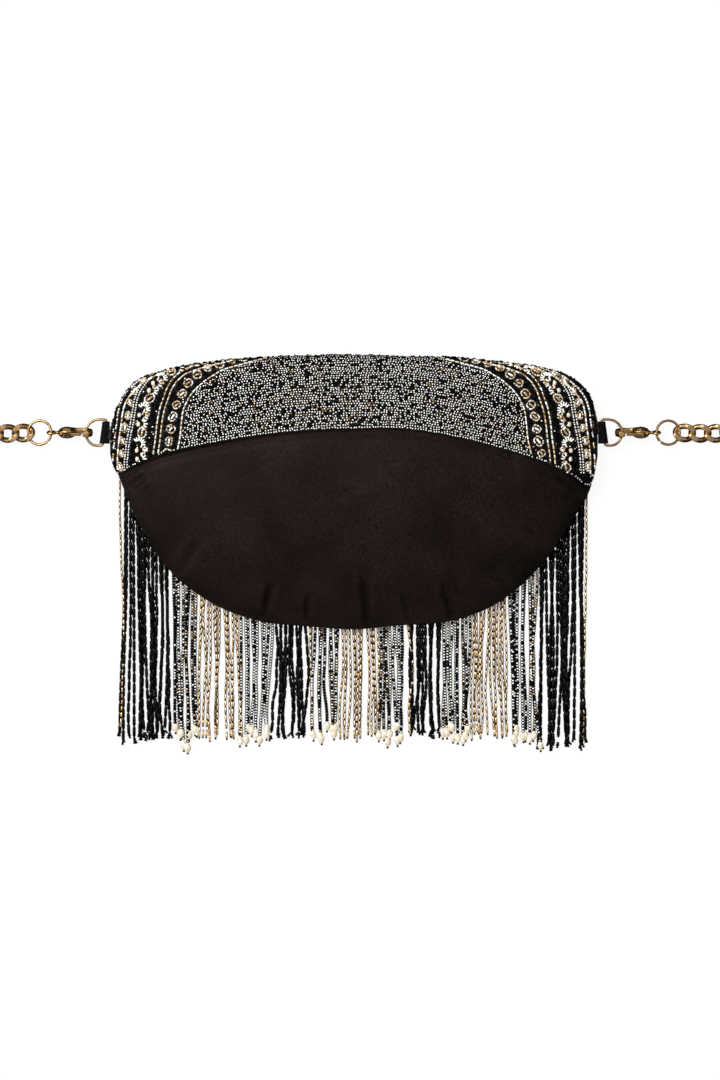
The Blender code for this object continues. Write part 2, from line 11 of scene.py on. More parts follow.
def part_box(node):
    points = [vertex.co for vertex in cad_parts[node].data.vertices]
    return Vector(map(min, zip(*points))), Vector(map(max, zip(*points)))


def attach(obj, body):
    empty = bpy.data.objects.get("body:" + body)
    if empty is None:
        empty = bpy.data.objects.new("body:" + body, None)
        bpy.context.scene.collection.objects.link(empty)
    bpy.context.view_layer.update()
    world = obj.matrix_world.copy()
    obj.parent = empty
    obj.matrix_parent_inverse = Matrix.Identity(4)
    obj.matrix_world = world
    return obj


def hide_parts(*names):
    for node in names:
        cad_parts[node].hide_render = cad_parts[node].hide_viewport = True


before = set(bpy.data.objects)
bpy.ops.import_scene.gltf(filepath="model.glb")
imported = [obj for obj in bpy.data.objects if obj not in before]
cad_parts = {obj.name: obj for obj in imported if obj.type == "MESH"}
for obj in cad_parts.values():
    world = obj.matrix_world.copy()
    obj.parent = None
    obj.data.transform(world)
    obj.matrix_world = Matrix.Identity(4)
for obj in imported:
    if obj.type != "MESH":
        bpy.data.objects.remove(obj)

bl_info = {
    "name": "Beaded Belt Bag",
    "version": (1, 0, 0),
    "blender": (4, 5, 0),
    "location": "View3D > Sidebar > Belt Bag",
    "description": "Satin, beads, metalwork and stage for a beaded belt bag",
    "category": "Object",
}

MM = 0.001

# Taken from the frame
BODY = "bag"
CHAIN_LEVEL = (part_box("tab_left")[0][1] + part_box("tab_left")[1][1]) / 2
HALF_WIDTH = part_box("flap")[1][0]
POUCH_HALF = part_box("pouch")[1][0]
POUCH_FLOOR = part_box("pouch")[0][2]

# The same shape values as the solids, in metres
TOP_RISE = 41.0 * MM
SEAM_DROP = 27.4 * MM
BELLY_DROP = 103.2 * MM
FLAP_DROP = 91.0 * MM
FIT_GAP = 0.4 * MM
FLAP_THICKNESS = 2.5 * MM
PUFF = 16.5 * MM
FOLD_HEIGHT = 9.0 * MM
END_HEIGHT = 4.6 * MM
LOWER_SEAM_HEIGHT = 4.0 * MM
FOLD_FALL = 4                               # how late the top fold thins towards its ends
PUFF_LEAN = 0.9                             # under 1, the puff's crest leans to the lower seam
PUFF_END, PUFF_ROUND = 2.4, 0.6             # how late and how roundly it falls at the ends
OUTLINE = [
    # across, top, seam, belly
    (-1.00, 0.02, 0.42, 0.11),
    (-0.97, 0.33, 0.78, 0.21),
    (-0.90, 0.65, 0.64, 0.42),
    (-0.78, 0.80, 0.43, 0.67),
    (-0.60, 0.915, 0.24, 0.855),
    (-0.40, 0.965, 0.085, 0.955),
    (-0.20, 0.99, -0.015, 0.985),
    (0.00, 1.00, -0.05, 1.00),
    (0.20, 0.98, -0.05, 0.98),
    (0.40, 0.97, 0.095, 0.957),
    (0.60, 0.915, 0.32, 0.86),
    (0.78, 0.835, 0.585, 0.66),
    (0.90, 0.70, 0.85, 0.44),
    (0.97, 0.46, 1.00, 0.29),
    (1.00, 0.10, 0.45, 0.12),
]
DENTS = [
    # across, up, depth, reach_across, reach_up
    (0.06, 0.06, 0.16, 0.035, 0.16),
    (0.41, 0.10, 0.13, 0.030, 0.14),
    (-0.34, 0.07, 0.10, 0.040, 0.12),
    (0.65, 0.62, 0.12, 0.030, 0.10),
    (0.86, 0.66, 0.16, 0.060, 0.10),
]

# Bead bands beside the seam: height above the chain's level, then each line's distance
# from the bag's middle, all in millimetres
BANDS = [
    # height, edge, rings, seeds, flowers, outer_bugles, motifs, inner_bugles
    (-21, 126.2, 123.3, 119.4, 110.6, 105.1, 99.6, 93.6),
    (-12, 126.0, 122.1, 118.7, 110.5, 104.5, 97.9, 92.3),
    (-4, 125.2, 121.3, 117.6, 110.5, 103.4, 96.0, 90.6),
    (4, 124.1, 119.8, 116.0, 110.1, 102.6, 94.9, 89.8),
    (12, 123.0, 118.0, 114.7, 108.5, 101.2, 93.3, 88.6),
    (18, 120.9, 117.2, 113.6, 106.4, 99.3, 90.3, 85.8),
    (24, 116.2, 113.8, 110.8, 103.3, 97.0, 87.6, 80.8),
    (29, 110.0, 108.0, 106.2, 99.4, 93.5, 82.9, 74.3),
    (33, 102.0, 100.0, 98.5, 93.0, 88.2, 77.6, 67.1),
    (36, 94.0, 92.0, 90.5, 85.0, 80.0, 69.5, 56.5),
    (40, 80.0, 78.0, 76.0, 70.0, 64.0, 55.0, 42.0),
]
BAND_NAMES = ["edge", "rings", "seeds", "flowers", "outer_bugles", "motifs", "inner_bugles"]

# Fringe groups, from left to right: shares of half the width at both sides of the group,
# the kind of strand, how many, and the drop of the ends as a share of the common one
GROUPS = [
    # left, right, kind, strands, drop
    (-0.972, -0.958, "champagne", 1, 0.985),
    (-0.948, -0.762, "black", 17, 1.000),
    (-0.752, -0.645, "seeds", 8, 0.990),
    (-0.640, -0.478, "gold", 15, 0.985),
    (-0.472, -0.330, "seeds", 10, 0.995),
    (-0.325, -0.195, "black", 11, 0.992),
    (-0.190, -0.165, "gold", 2, 0.975),
    (-0.160, -0.058, "seeds", 8, 0.980),
    (-0.055, 0.098, "gold", 14, 0.985),
    (0.102, 0.205, "seeds", 8, 0.990),
    (0.205, 0.232, "gold", 2, 0.980),
    (0.232, 0.355, "black", 11, 0.992),
    (0.360, 0.478, "seeds", 9, 0.990),
    (0.482, 0.628, "gold", 14, 0.985),
    (0.632, 0.756, "seeds", 9, 0.990),
    (0.764, 0.950, "black", 17, 1.025),
    (0.952, 0.966, "champagne", 1, 1.000),
]


def hex_colour(code):
    """An sRGB hex value as the linear colour that the shaders take."""
    parts = [int(code[i:i + 2], 16) / 255 for i in (1, 3, 5)]
    return tuple(p / 12.92 if p <= 0.04045 else ((p + 0.055) / 1.055) ** 2.4 for p in parts)


def size(name, text, default):
    return FloatProperty(name=name, description=text, default=default, unit="LENGTH", precision=5)


def colour(name, text, code):
    return FloatVectorProperty(
        name=name, description=text, default=hex_colour(code), subtype="COLOR", size=3, min=0, max=1
    )


class BeltBagSizes(bpy.types.PropertyGroup):
    seed_length: size("Seed bead length", "Along the thread", 1.35 * MM)
    seed_width: size("Seed bead width", "Across the thread", 1.25 * MM)
    row_spacing: size("Row spacing", "Between two rows of sewn beads", 1.28 * MM)
    cloth: size("Flap cloth", "Thickness of the cloth under the beads", 1.1 * MM)
    bugle_length: size("Fringe bugle length", "Length of a tube bead in the fringe", 4.8 * MM)
    bugle_width: size("Fringe bugle width", "Diameter of a tube bead in the fringe", 1.75 * MM)
    pearl_length: size("Rice pearl length", "Length of the pearls at the strands' ends", 5.0 * MM)
    pearl_width: size("Rice pearl width", "Width of the pearls at the strands' ends", 3.2 * MM)
    fringe_drop: size("Fringe drop", "From the chain's level to the strands' ends", 164.0 * MM)
    link_length: size("Link length", "Outer length of a chain link", 12.4 * MM)
    link_width: size("Link width", "Outer width of a chain link", 10.0 * MM)
    link_wire: size("Link wire", "Diameter of the chain's wire", 2.9 * MM)
    link_pitch: size("Link pitch", "From one link to the next", 8.15 * MM)
    random_seed: IntProperty(name="Seed", description="Start of the scatter of beads", default=7)


class BeltBagColours(bpy.types.PropertyGroup):
    satin: colour("Satin", "Face of the satin", "#171110")
    satin_sheen: colour("Satin sheen", "Sheen of the satin", "#6f5546")
    cloth: colour("Flap cloth", "Cloth under the beads", "#0c0a09")
    black_glass: colour("Black glass", "Jet beads", "#040404")
    # Near white: partly the beads' own pale look, partly a painted reflection of the light above
    silver_lined: colour("Silver-lined glass", "Clear beads with a silver lining", "#fff7ec")
    gold_lined: colour("Gold-lined glass", "Beads with a gold lining", "#b8915a")
    champagne: colour("Champagne glass", "Tube beads with a pale lining", "#e4d2b4")
    pearl: colour("Pearl", "Rice and seed pearls", "#ddd0b6")
    strap: colour("Strap", "Leather of the tabs", "#070606")
    thread: colour("Thread", "Stitches on the tabs", "#2a2624")
    gold: colour("Antique gold", "Plate on the rings, clasps and chain", "#a8865c")
    # Painted shade: the dark amber put on the pale tube beads' sides
    amber: colour("Amber", "Rim of the pale tube beads", "#80582a")
    floor: colour("Floor", "Pale floor", "#f6f6f5")


TABLE = np.array(OUTLINE)


def mix(a, b, share):
    return a + (b - a) * share


def between(here, there, slope_here, slope_there, share):
    """A smooth curve from one value to the next, with its slopes at both."""
    s2, s3 = share ** 2, share ** 3
    return (
        (2 * s3 - 3 * s2 + 1) * here + (s3 - 2 * s2 + share) * slope_here
        + (3 * s2 - 2 * s3) * there + (s3 - s2) * slope_there
    )


def outline(x, column):
    """A column of OUTLINE at x, by a smooth curve through its rows."""
    across = np.clip(np.asarray(x, float) / HALF_WIDTH, -1.0, 1.0)
    marks, values = TABLE[:, 0], TABLE[:, column]
    here = np.clip(np.searchsorted(marks, across) - 1, 0, len(marks) - 2)
    there = here + 1
    before, after = np.maximum(here - 1, 0), np.minimum(there + 1, len(marks) - 1)
    step = marks[there] - marks[here]
    share = (across - marks[here]) / step
    slope_here = (values[there] - values[before]) / (marks[there] - marks[before]) * step
    slope_there = (values[after] - values[here]) / (marks[after] - marks[here]) * step
    return between(values[here], values[there], slope_here, slope_there, share)


def top_line(x):
    return TOP_RISE * outline(x, 1)


def seam_line(x):
    return -SEAM_DROP * outline(x, 2)


def belly_line(x):
    return -BELLY_DROP * outline(x, 3)


def flap_line(x):
    return -FLAP_DROP * outline(x, 3)


def pouch_top(x):
    return top_line(x) - FLAP_THICKNESS - FIT_GAP


def fold_height(x):
    share = np.minimum(1.0, np.abs(x) / POUCH_HALF)
    return mix(FOLD_HEIGHT, END_HEIGHT, share ** FOLD_FALL)


def pouch_height(x, y):
    """Top of the pouch above its flat underside."""
    low, high = belly_line(x), pouch_top(x)
    up = np.clip((y - low) / (high - low), 0.0, 1.0)
    across = np.minimum(1.0, np.abs(x) / POUCH_HALF)
    bulge = np.sin(math.pi * up ** PUFF_LEAN) * (1 - across ** PUFF_END) ** PUFF_ROUND
    taken = 0.0
    for at_across, at_up, depth, reach_across, reach_up in DENTS:
        far = ((x / HALF_WIDTH - at_across) / reach_across) ** 2 + ((up - at_up) / reach_up) ** 2
        taken = taken + depth * np.exp(-far)
    return mix(LOWER_SEAM_HEIGHT, fold_height(x), up) + PUFF * bulge * (1 - taken)


FLAP_COLUMNS = 361
BACK_POINTS, TURN_POINTS, FRONT_POINTS = 40, 25, 80
BACK_SHARE = 6 / 7                          # where the flap's back leaves the puff for the fold
COLUMN_X = np.linspace(-HALF_WIDTH, HALF_WIDTH, FLAP_COLUMNS)


def flap_curves(lift):
    """Y and Z along the flap at each column, from its seam on the back over the top fold to
    its lower edge on the front, and the length along the curve."""
    x = COLUMN_X[:, None]
    edge = np.clip(x, -POUCH_HALF, POUCH_HALF)
    fold = fold_height(edge) / 2
    stop = pouch_top(x) - fold
    back = mix(seam_line(x), stop, np.linspace(0, BACK_SHARE, BACK_POINTS)[None, :])
    turn = np.linspace(math.pi / 2, -math.pi / 2, TURN_POINTS)[None, :]
    front = mix(stop, flap_line(x), np.linspace(0, 1, FRONT_POINTS + 1)[None, 1:])
    y = np.hstack([back, stop + (fold + lift) * np.cos(turn), front])
    z = np.hstack([
        pouch_height(edge, back) + lift,
        fold + (fold + lift) * np.sin(turn),
        np.full_like(front, -lift),
    ])
    steps = np.hypot(np.diff(y, axis=1), np.diff(z, axis=1))
    along = np.hstack([np.zeros((FLAP_COLUMNS, 1)), np.cumsum(steps, axis=1)])
    return y, z + POUCH_FLOOR, along


class FlapSurface:
    """Finds places on the flap, lifted off the pouch, in the world."""

    def __init__(self, lift):
        self.y, self.z, self.along = flap_curves(lift)
        self.length = self.along[:, -1]
        self.apex = np.array([self.along[i, np.argmax(self.y[i])] for i in range(FLAP_COLUMNS)])

    def raw(self, x, s):
        """Points at x and at the length s from the seam."""
        place = (x + HALF_WIDTH) / (2 * HALF_WIDTH) * (FLAP_COLUMNS - 1)
        place = np.clip(place, 0, FLAP_COLUMNS - 1.001)
        column = place.astype(int)
        share = place - column
        found = np.empty((len(x), 3))
        found[:, 0] = x
        for side, weight in ((0, 1 - share), (1, share)):
            for i in np.unique(column + side):
                here = column + side == i
                y = np.interp(s[here], self.along[i], self.y[i]) + CHAIN_LEVEL
                z = np.interp(s[here], self.along[i], self.z[i])
                if side == 0:
                    found[here, 1], found[here, 2] = weight[here] * y, weight[here] * z
                else:
                    found[here, 1] += weight[here] * y
                    found[here, 2] += weight[here] * z
        return found

    def length_at(self, x):
        return np.interp(x, COLUMN_X, self.length)

    def apex_at(self, x):
        return np.interp(x, COLUMN_X, self.apex)

    def along_back(self, x, y):
        """The length from the seam to a height y on the back, at each x."""
        found = np.empty(len(x))
        for i, (at_x, at_y) in enumerate(zip(x, y)):
            column = int(round((at_x + HALF_WIDTH) / (2 * HALF_WIDTH) * (FLAP_COLUMNS - 1)))
            column = min(max(column, 0), FLAP_COLUMNS - 1)
            top = np.argmax(self.y[column])
            found[i] = np.interp(at_y, self.y[column, :top + 1], self.along[column, :top + 1])
        return found

    def place(self, x, s, across=0.4 * MM):
        """Points, directions along the row and outward normals."""
        here = self.raw(x, s)
        right = self.raw(np.minimum(x + across, HALF_WIDTH), s)
        left = self.raw(np.maximum(x - across, -HALF_WIDTH), s)
        ahead, behind = self.raw(x, s + across), self.raw(x, np.maximum(s - across, 0))
        row = unit(right - left)
        outward = unit(np.cross(row, ahead - behind))
        return here, row, outward


def unit(vectors):
    return vectors / np.maximum(np.linalg.norm(vectors, axis=1, keepdims=True), 1e-12)


# Materials


def node(tree, kind, settings=None, links=None, **properties):
    """Adds a node, sets its properties and its sockets' values, and links its sockets."""
    made = tree.nodes.new(kind)
    for name, value in properties.items():
        setattr(made, name, value)
    for socket, value in (settings or {}).items():
        made.inputs[socket].default_value = value
    for socket, source in (links or {}).items():
        tree.links.new(source, made.inputs[socket])
    return made


def new_material(name, **values):
    """A material with a Principled BSDF whose sockets take these values."""
    made = bpy.data.materials.new(name)
    made.use_nodes = True
    shader = made.node_tree.nodes["Principled BSDF"]
    for socket, value in values.items():
        shader.inputs[socket.replace("_", " ")].default_value = value
    return made, made.node_tree, shader


def solid(code):
    return (*code, 1.0)


def shade(code, share):
    """A colour made darker or lighter by a share."""
    return tuple(min(1.0, part * share) for part in code) + (1.0,)


def object_noise(tree, scale_mm, detail=2.0, stretch=(1, 1, 1)):
    """Noise whose grain is scale_mm wide, on the object's own coordinates."""
    where = node(tree, "ShaderNodeTexCoord")
    turned = node(
        tree, "ShaderNodeMapping", {"Scale": stretch}, {"Vector": where.outputs["Object"]}
    )
    return node(
        tree, "ShaderNodeTexNoise",
        {"Scale": 1 / (scale_mm * MM), "Detail": detail}, {"Vector": turned.outputs["Vector"]},
    )


def ramp(tree, source, stops):
    """A colour ramp read by a source socket; stops are (place, colour)."""
    made = node(tree, "ShaderNodeValToRGB", links={"Fac": source})
    elements = made.color_ramp.elements
    for i, (place, code) in enumerate(stops):
        element = elements[i] if i < 2 else elements.new(place)
        element.position = place
        element.color = code
    return made


def mottle(tree, shader, source, base, dark, light):
    """Colours a shader with a base that a pattern makes darker and lighter."""
    tone = ramp(tree, source, [(0.3, shade(base, dark)), (0.7, shade(base, light))])
    tree.links.new(tone.outputs["Color"], shader.inputs["Base Color"])


def bump(tree, shader, height, strength, distance_mm):
    made = node(
        tree, "ShaderNodeBump",
        {"Strength": strength, "Distance": distance_mm * MM}, {"Height": height},
    )
    tree.links.new(made.outputs["Normal"], shader.inputs["Normal"])
    return made


def satin_material(colours):
    """Polyester charmeuse satin, woven with long floats: near black with a soft brown sheen
    that runs across the floats, partly from the shader and partly painted as lighter cloudy patches,
    and a faint grain of threads along them."""
    made, tree, shader = new_material(
        "black_brown_satin", Roughness=0.46, Anisotropic=0.4, Sheen_Weight=0.05,
        Sheen_Roughness=0.35, Specular_IOR_Level=0.085,
    )
    shader.inputs["Specular Tint"].default_value = solid(hex_colour("#eac6b6"))
    shader.inputs["Sheen Tint"].default_value = solid(colours.satin_sheen)
    # Painted sheen: random cloudy patches up to about twice as light as the satin
    painted_sheen_cloud = object_noise(tree, 28, 3.0)
    # Threads are about 0.1 mm apart; drawn at 0.5 mm so that their grain shows
    thread = object_noise(tree, 0.5, 3.0, (1, 0.3, 1))
    tone = ramp(tree, painted_sheen_cloud.outputs["Fac"], [
        (0.30, shade(colours.satin, 0.90)), (0.70, shade(colours.satin, 2.15)),
    ])
    grain = ramp(tree, thread.outputs["Fac"], [
        (0.35, (0.25, 0.25, 0.25, 1)), (0.65, (1.0, 1.0, 1.0, 1)),
    ])
    product = node(tree, "ShaderNodeMix", data_type="RGBA", blend_type="MULTIPLY")
    product.inputs[0].default_value = 1.0
    tree.links.new(tone.outputs["Color"], product.inputs[6])
    tree.links.new(grain.outputs["Color"], product.inputs[7])
    tree.links.new(product.outputs[2], shader.inputs["Base Color"])
    slack = object_noise(tree, 6.5, 2.0)
    total = node(tree, "ShaderNodeMath", links={0: slack.outputs["Fac"]}, operation="MULTIPLY_ADD")
    total.inputs[1].default_value = 2.5
    tree.links.new(thread.outputs["Fac"], total.inputs[2])
    bump(tree, shader, total.outputs["Value"], 0.4, 0.14)
    return made


def cloth_material(colours):
    """Cotton felt backing under the beads: matt black with a fuzzy fine grain."""
    made, tree, shader = new_material("black_cotton_backing", Roughness=0.9, Sheen_Weight=0.04)
    fuzz = object_noise(tree, 0.5, 3.0)
    mottle(tree, shader, fuzz.outputs["Fac"], colours.cloth, 0.6, 1.6)
    bump(tree, shader, fuzz.outputs["Fac"], 0.5, 0.2)
    return made


def bead_material(name, base, spread, painted_glint_and_patch, speckle_from, grain, **values):
    """Beads of one finish. Each bead's own tint darkens or lightens it by the spread, and a
    fine grain on the object's coordinates mixes in a second colour in small patches: painted glints on
    the black, silver, gold and pearl finishes, random brown patches on the champagne and darker ones on
    the amber."""
    made, tree, shader = new_material(name, **values)
    tint = node(tree, "ShaderNodeAttribute", attribute_name="tint")
    tone = ramp(tree, tint.outputs["Fac"], [
        (0.0, shade(base, 1 - spread)), (1.0, shade(base, 1 + spread)),
    ])
    # Painted glints: noise mixes in the speckle colour in small patches; on most finishes it is lighter
    # and stands in for highlights
    speckle_noise = object_noise(tree, grain, 2.0)
    light = node(
        tree, "ShaderNodeMapRange", {"From Min": speckle_from, "From Max": speckle_from + 0.14},
        {"Value": speckle_noise.outputs["Fac"]},
    )
    both = node(tree, "ShaderNodeMix", data_type="RGBA")
    both.inputs[7].default_value = solid(hex_colour(painted_glint_and_patch))
    tree.links.new(light.outputs["Result"], both.inputs[0])
    tree.links.new(tone.outputs["Color"], both.inputs[6])
    tree.links.new(both.outputs[2], shader.inputs["Base Color"])
    return made


def strap_material(colours):
    """Smooth black cowhide with a sealed finish: a fine pebble grain and a dull gloss."""
    made, tree, shader = new_material("black_leather_strap", Roughness=0.5, Specular_IOR_Level=0.04)
    where = node(tree, "ShaderNodeTexCoord")
    pebble = node(
        tree, "ShaderNodeTexVoronoi", {"Scale": 1 / (0.5 * MM)}, {"Vector": where.outputs["Object"]}
    )
    patch = object_noise(tree, 2.0, 3.0)
    mottle(tree, shader, patch.outputs["Fac"], colours.strap, 0.7, 1.6)
    bump(tree, shader, pebble.outputs["Distance"], 0.35, 0.08)
    return made


def thread_material(colours):
    """Waxed polyester thread, laid in short stitches: nearly black, with a dull shine."""
    made, tree, shader = new_material("waxed_black_thread", Roughness=0.55, Specular_IOR_Level=0.2)
    twist = object_noise(tree, 0.3, 1.0)
    mottle(tree, shader, twist.outputs["Fac"], colours.thread, 0.6, 1.5)
    return made


def gold_material(colours):
    """Zinc alloy and brass with antique gold plate: warm, a little dull, with darker worn
    patches and fine handling scratches."""
    made, tree, shader = new_material("antique_gold_plate", Metallic=1.0, Roughness=0.3)
    patch = object_noise(tree, 2.6, 4.0)
    tone = ramp(tree, patch.outputs["Fac"], [
        (0.28, shade(colours.gold, 0.55)), (0.5, solid(colours.gold)), (0.75, shade(colours.gold, 1.2)),
    ])
    tree.links.new(tone.outputs["Color"], shader.inputs["Base Color"])
    rough = node(
        tree, "ShaderNodeMapRange", {"To Min": 0.40, "To Max": 0.24}, {"Value": patch.outputs["Fac"]}
    )
    tree.links.new(rough.outputs["Result"], shader.inputs["Roughness"])
    scratch = object_noise(tree, 0.35, 2.0)
    bump(tree, shader, scratch.outputs["Fac"], 0.12, 0.05)
    return made


def floor_material(colours):
    """White acrylic sheet lit from below, as on a shop's table: even, with hardly a shadow."""
    made, tree, shader = new_material("pale_studio_floor", Roughness=0.95, Specular_IOR_Level=0.0)
    tone = object_noise(tree, 400, 1.0)
    soft = ramp(tree, tone.outputs["Fac"], [
        (0.3, shade(colours.floor, 0.995)), (0.7, solid(colours.floor)),
    ])
    tree.links.new(soft.outputs["Color"], shader.inputs["Emission Color"])
    shader.inputs["Base Color"].default_value = shade(colours.floor, 0.10)
    shader.inputs["Emission Strength"].default_value = 0.99
    return made


BEAD_FINISHES = [
    # name, colour, spread of the beads' tints, speckle colour (a painted glint on most finishes), where
    # it starts, its grain in mm, values
    # Opaque jet glass, fire polished: black, with a hard highlight from the shader and grey patches
    # painted on as glints
    ("black_jet_glass", "black_glass", 0.5, "#3c3a39", 0.60, 0.9,
     {"Roughness": 0.12, "Specular_IOR_Level": 0.045}),
    # Clear glass with a silvered hole, near white and hardly metallic, as bright as the light above:
    # partly its own pale look, partly a painted reflection, with white patches painted on as glints
    ("silver_lined_glass", "silver_lined", 0.12, "#ffffff", 0.45, 0.7,
     {"Roughness": 0.12, "Metallic": 0.05}),
    # Clear glass with a gilt hole: brown, with pale patches painted on as highlights
    ("gold_lined_glass", "gold_lined", 0.3, "#f6e8c9", 0.50, 0.7,
     {"Roughness": 0.15, "Metallic": 0.5}),
    # Translucent champagne glass with a pale lining, and random brown patches
    ("champagne_glass", "champagne", 0.2, "#a8804c", 0.56, 0.9,
     {"Roughness": 0.14, "Metallic": 0.2}),
    # Dyed freshwater rice pearl: soft lustre under a thin clear layer, and white patches painted on as
    # highlights
    ("freshwater_pearl", "pearl", 0.06, "#fffaf0", 0.52, 1.6,
     {"Roughness": 0.22, "Coat_Weight": 0.5}),
    # The pale tubes' sides: dark amber as painted shade, with darker patches still
    ("amber_glass", "amber", 0.35, "#2a1a0a", 0.60, 0.9, {"Roughness": 0.15, "Metallic": 0.4}),
]
BLACK, SILVER, GOLD, CHAMPAGNE, PEARL, PAINTED_SHADE_AMBER = range(len(BEAD_FINISHES))


def bead_finishes(colours):
    """The beads' materials, in the order of BEAD_FINISHES, each made once."""
    for name, base, spread, painted_glint_and_patch, start, grain, values in BEAD_FINISHES:
        if name not in bpy.data.materials:
            bead_material(name, getattr(colours, base), spread, painted_glint_and_patch, start, grain, **values)
    return [bpy.data.materials[row[0]] for row in BEAD_FINISHES]


def material_named(name, build):
    """A material that is made once, by the first piece that needs it."""
    found = bpy.data.materials.get(name)
    return found if found else build(bpy.context.scene.belt_bag_colours)


# Modelling helpers


def deselect():
    if bpy.context.object and bpy.context.object.mode != "OBJECT":
        bpy.ops.object.mode_set(mode="OBJECT")
    bpy.ops.object.select_all(action="DESELECT")


def pick(piece):
    """Makes a piece the only selected and active one."""
    deselect()
    piece.select_set(True)
    bpy.context.view_layer.objects.active = piece
    return piece


def apply_modifier(piece, kind, **settings):
    """Adds a modifier with its settings and applies it."""
    pick(piece)
    made = piece.modifiers.new(kind.lower(), kind)
    for name, value in settings.items():
        setattr(made, name, value)
    bpy.ops.object.modifier_apply(modifier=made.name)


def select_where(piece, test):
    """In edit mode, selects only what passes a test on its place."""
    bm = bmesh.from_edit_mesh(piece.data)
    bpy.ops.mesh.select_all(action="DESELECT")
    for vert in bm.verts:
        vert.select = bool(test(vert.co))
    bm.select_flush(True)
    bmesh.update_edit_mesh(piece.data)


def mesh_piece(name, verts, corners, starts, finishes=None, tints=None):
    """A mesh object from arrays: places, the corners of all faces in one row, and where each
    face starts in it."""
    mesh = bpy.data.meshes.new(name)
    mesh.vertices.add(len(verts))
    mesh.vertices.foreach_set("co", np.ascontiguousarray(verts, dtype=np.float32).ravel())
    mesh.loops.add(len(corners))
    mesh.loops.foreach_set("vertex_index", np.ascontiguousarray(corners, dtype=np.int32))
    mesh.polygons.add(len(starts))
    mesh.polygons.foreach_set("loop_start", np.ascontiguousarray(starts, dtype=np.int32))
    if finishes is not None:
        mesh.polygons.foreach_set("material_index", np.ascontiguousarray(finishes, dtype=np.int32))
    mesh.update(calc_edges=True)
    mesh.shade_smooth()
    if tints is not None:
        layer = mesh.attributes.new("tint", "FLOAT", "POINT")
        layer.data.foreach_set("value", np.ascontiguousarray(tints, dtype=np.float32))
    piece = bpy.data.objects.new(name, mesh)
    bpy.context.collection.objects.link(piece)
    return piece


def grid_piece(name, points, wrap=False):
    """A sheet of quads through a grid of points; wrap joins its last column to its first."""
    rows, columns = points.shape[:2]
    i, j = np.meshgrid(np.arange(rows - 1), np.arange(columns if wrap else columns - 1), indexing="ij")
    after = (j + 1) % columns
    quads = np.stack([
        i * columns + j, i * columns + after, (i + 1) * columns + after, (i + 1) * columns + j
    ], axis=-1).reshape(-1)
    return mesh_piece(name, points.reshape(-1, 3), quads, np.arange(0, len(quads), 4))


def carry(piece, replaced=(), body=BODY):
    """Puts a finished piece on its body, for the CAD nodes."""
    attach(piece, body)
    if replaced:
        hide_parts(*replaced)
    return piece


class Beads:
    """Beads collected as arrays, then copied from one modelled bead into one mesh."""

    def __init__(self):
        self.rows = []

    def add(self, places, axes, normals, length, width, kinds, tints, depth=None):
        """Beads with their hole along axes, as deep along the normal as depth, or as wide."""
        count = len(places)
        if not count:
            return
        deep = width if depth is None else depth
        self.rows.append((
            np.asarray(places, float), np.asarray(axes, float), np.asarray(normals, float),
            np.broadcast_to(length, count), np.broadcast_to(width, count),
            np.broadcast_to(deep, count), np.broadcast_to(kinds, count), np.broadcast_to(tints, count),
        ))

    def arrays(self):
        return [np.concatenate([row[i] for row in self.rows]) for i in range(8)]

    def piece(self, name, model, colours, painted_shade_finish=None):
        """One joined mesh of all the beads, each a copy of the model. Given a second finish, a
        bead keeps its own finish only on the middle of its upper face, as a painted highlight,
        and the rest of it takes the second finish as painted shade."""
        places, axes, normals, lengths, widths, deeps, kinds, tints = self.arrays()
        shape = np.array([v.co for v in model.data.vertices])
        faces = [list(face.vertices) for face in model.data.polygons]
        corners = np.concatenate(faces)
        sizes = np.array([len(face) for face in faces])
        starts = np.concatenate([[0], np.cumsum(sizes)[:-1]])
        count = len(places)
        along = unit(axes)
        side = unit(np.cross(normals, along))
        up = np.cross(along, side)
        verts = (
            places[:, None, :]
            + side[:, None, :] * (shape[None, :, 0] * widths[:, None])[..., None]
            + up[:, None, :] * (shape[None, :, 1] * deeps[:, None])[..., None]
            + along[:, None, :] * (shape[None, :, 2] * lengths[:, None])[..., None]
        )
        offsets = np.arange(count)[:, None]
        # Painted highlight and shade: faces that look up keep the bead's finish, the others take the
        # darker one
        lined = np.array([
            painted_shade_finish is None or (face.normal.y > HIGHLIGHT_FACING and abs(face.center.z) < HIGHLIGHT_REACH)
            for face in model.data.polygons
        ])
        painted_shade_wall = np.where(kinds == BLACK, BLACK, BLACK if painted_shade_finish is None else painted_shade_finish)
        finish = np.where(lined[None, :], kinds[:, None], painted_shade_wall[:, None])
        piece = mesh_piece(
            name, verts.reshape(-1, 3),
            (corners[None, :] + offsets * len(shape)).reshape(-1),
            (starts[None, :] + offsets * len(corners)).reshape(-1),
            finish.reshape(-1), np.repeat(tints, len(shape)),
        )
        finishes = bead_finishes(colours)
        for kind in range(int(finish.max()) + 1):
            piece.data.materials.append(finishes[kind])
        return piece


HIGHLIGHT_FACING = 0.75                         # how squarely the face that keeps its own finish, the painted highlight, looks up
HIGHLIGHT_REACH = 0.2                           # and how far it reaches along the hole


BEAD_SHAPES = {
    # bead: sides, its ends' share of its width, heights of its full rings, turned face up
    "seed_bead": (6, 0.62, (-0.22, 0.22), True),
    "band_bead": (6, 0.66, (0,), False),
    "band_tube": (6, 0.70, (0.38, -0.38), True),
    "front_bead": (4, 0.70, (0,), False),
    "fringe_seed": (6, 0.70, (-0.20, 0.20), True),
    "fringe_joint": (5, 0.62, (0,), False),
    "fringe_tube": (6, 0.70, (0.44, -0.44), True),
    "stitch": (6, 0.60, (0,), False),
}


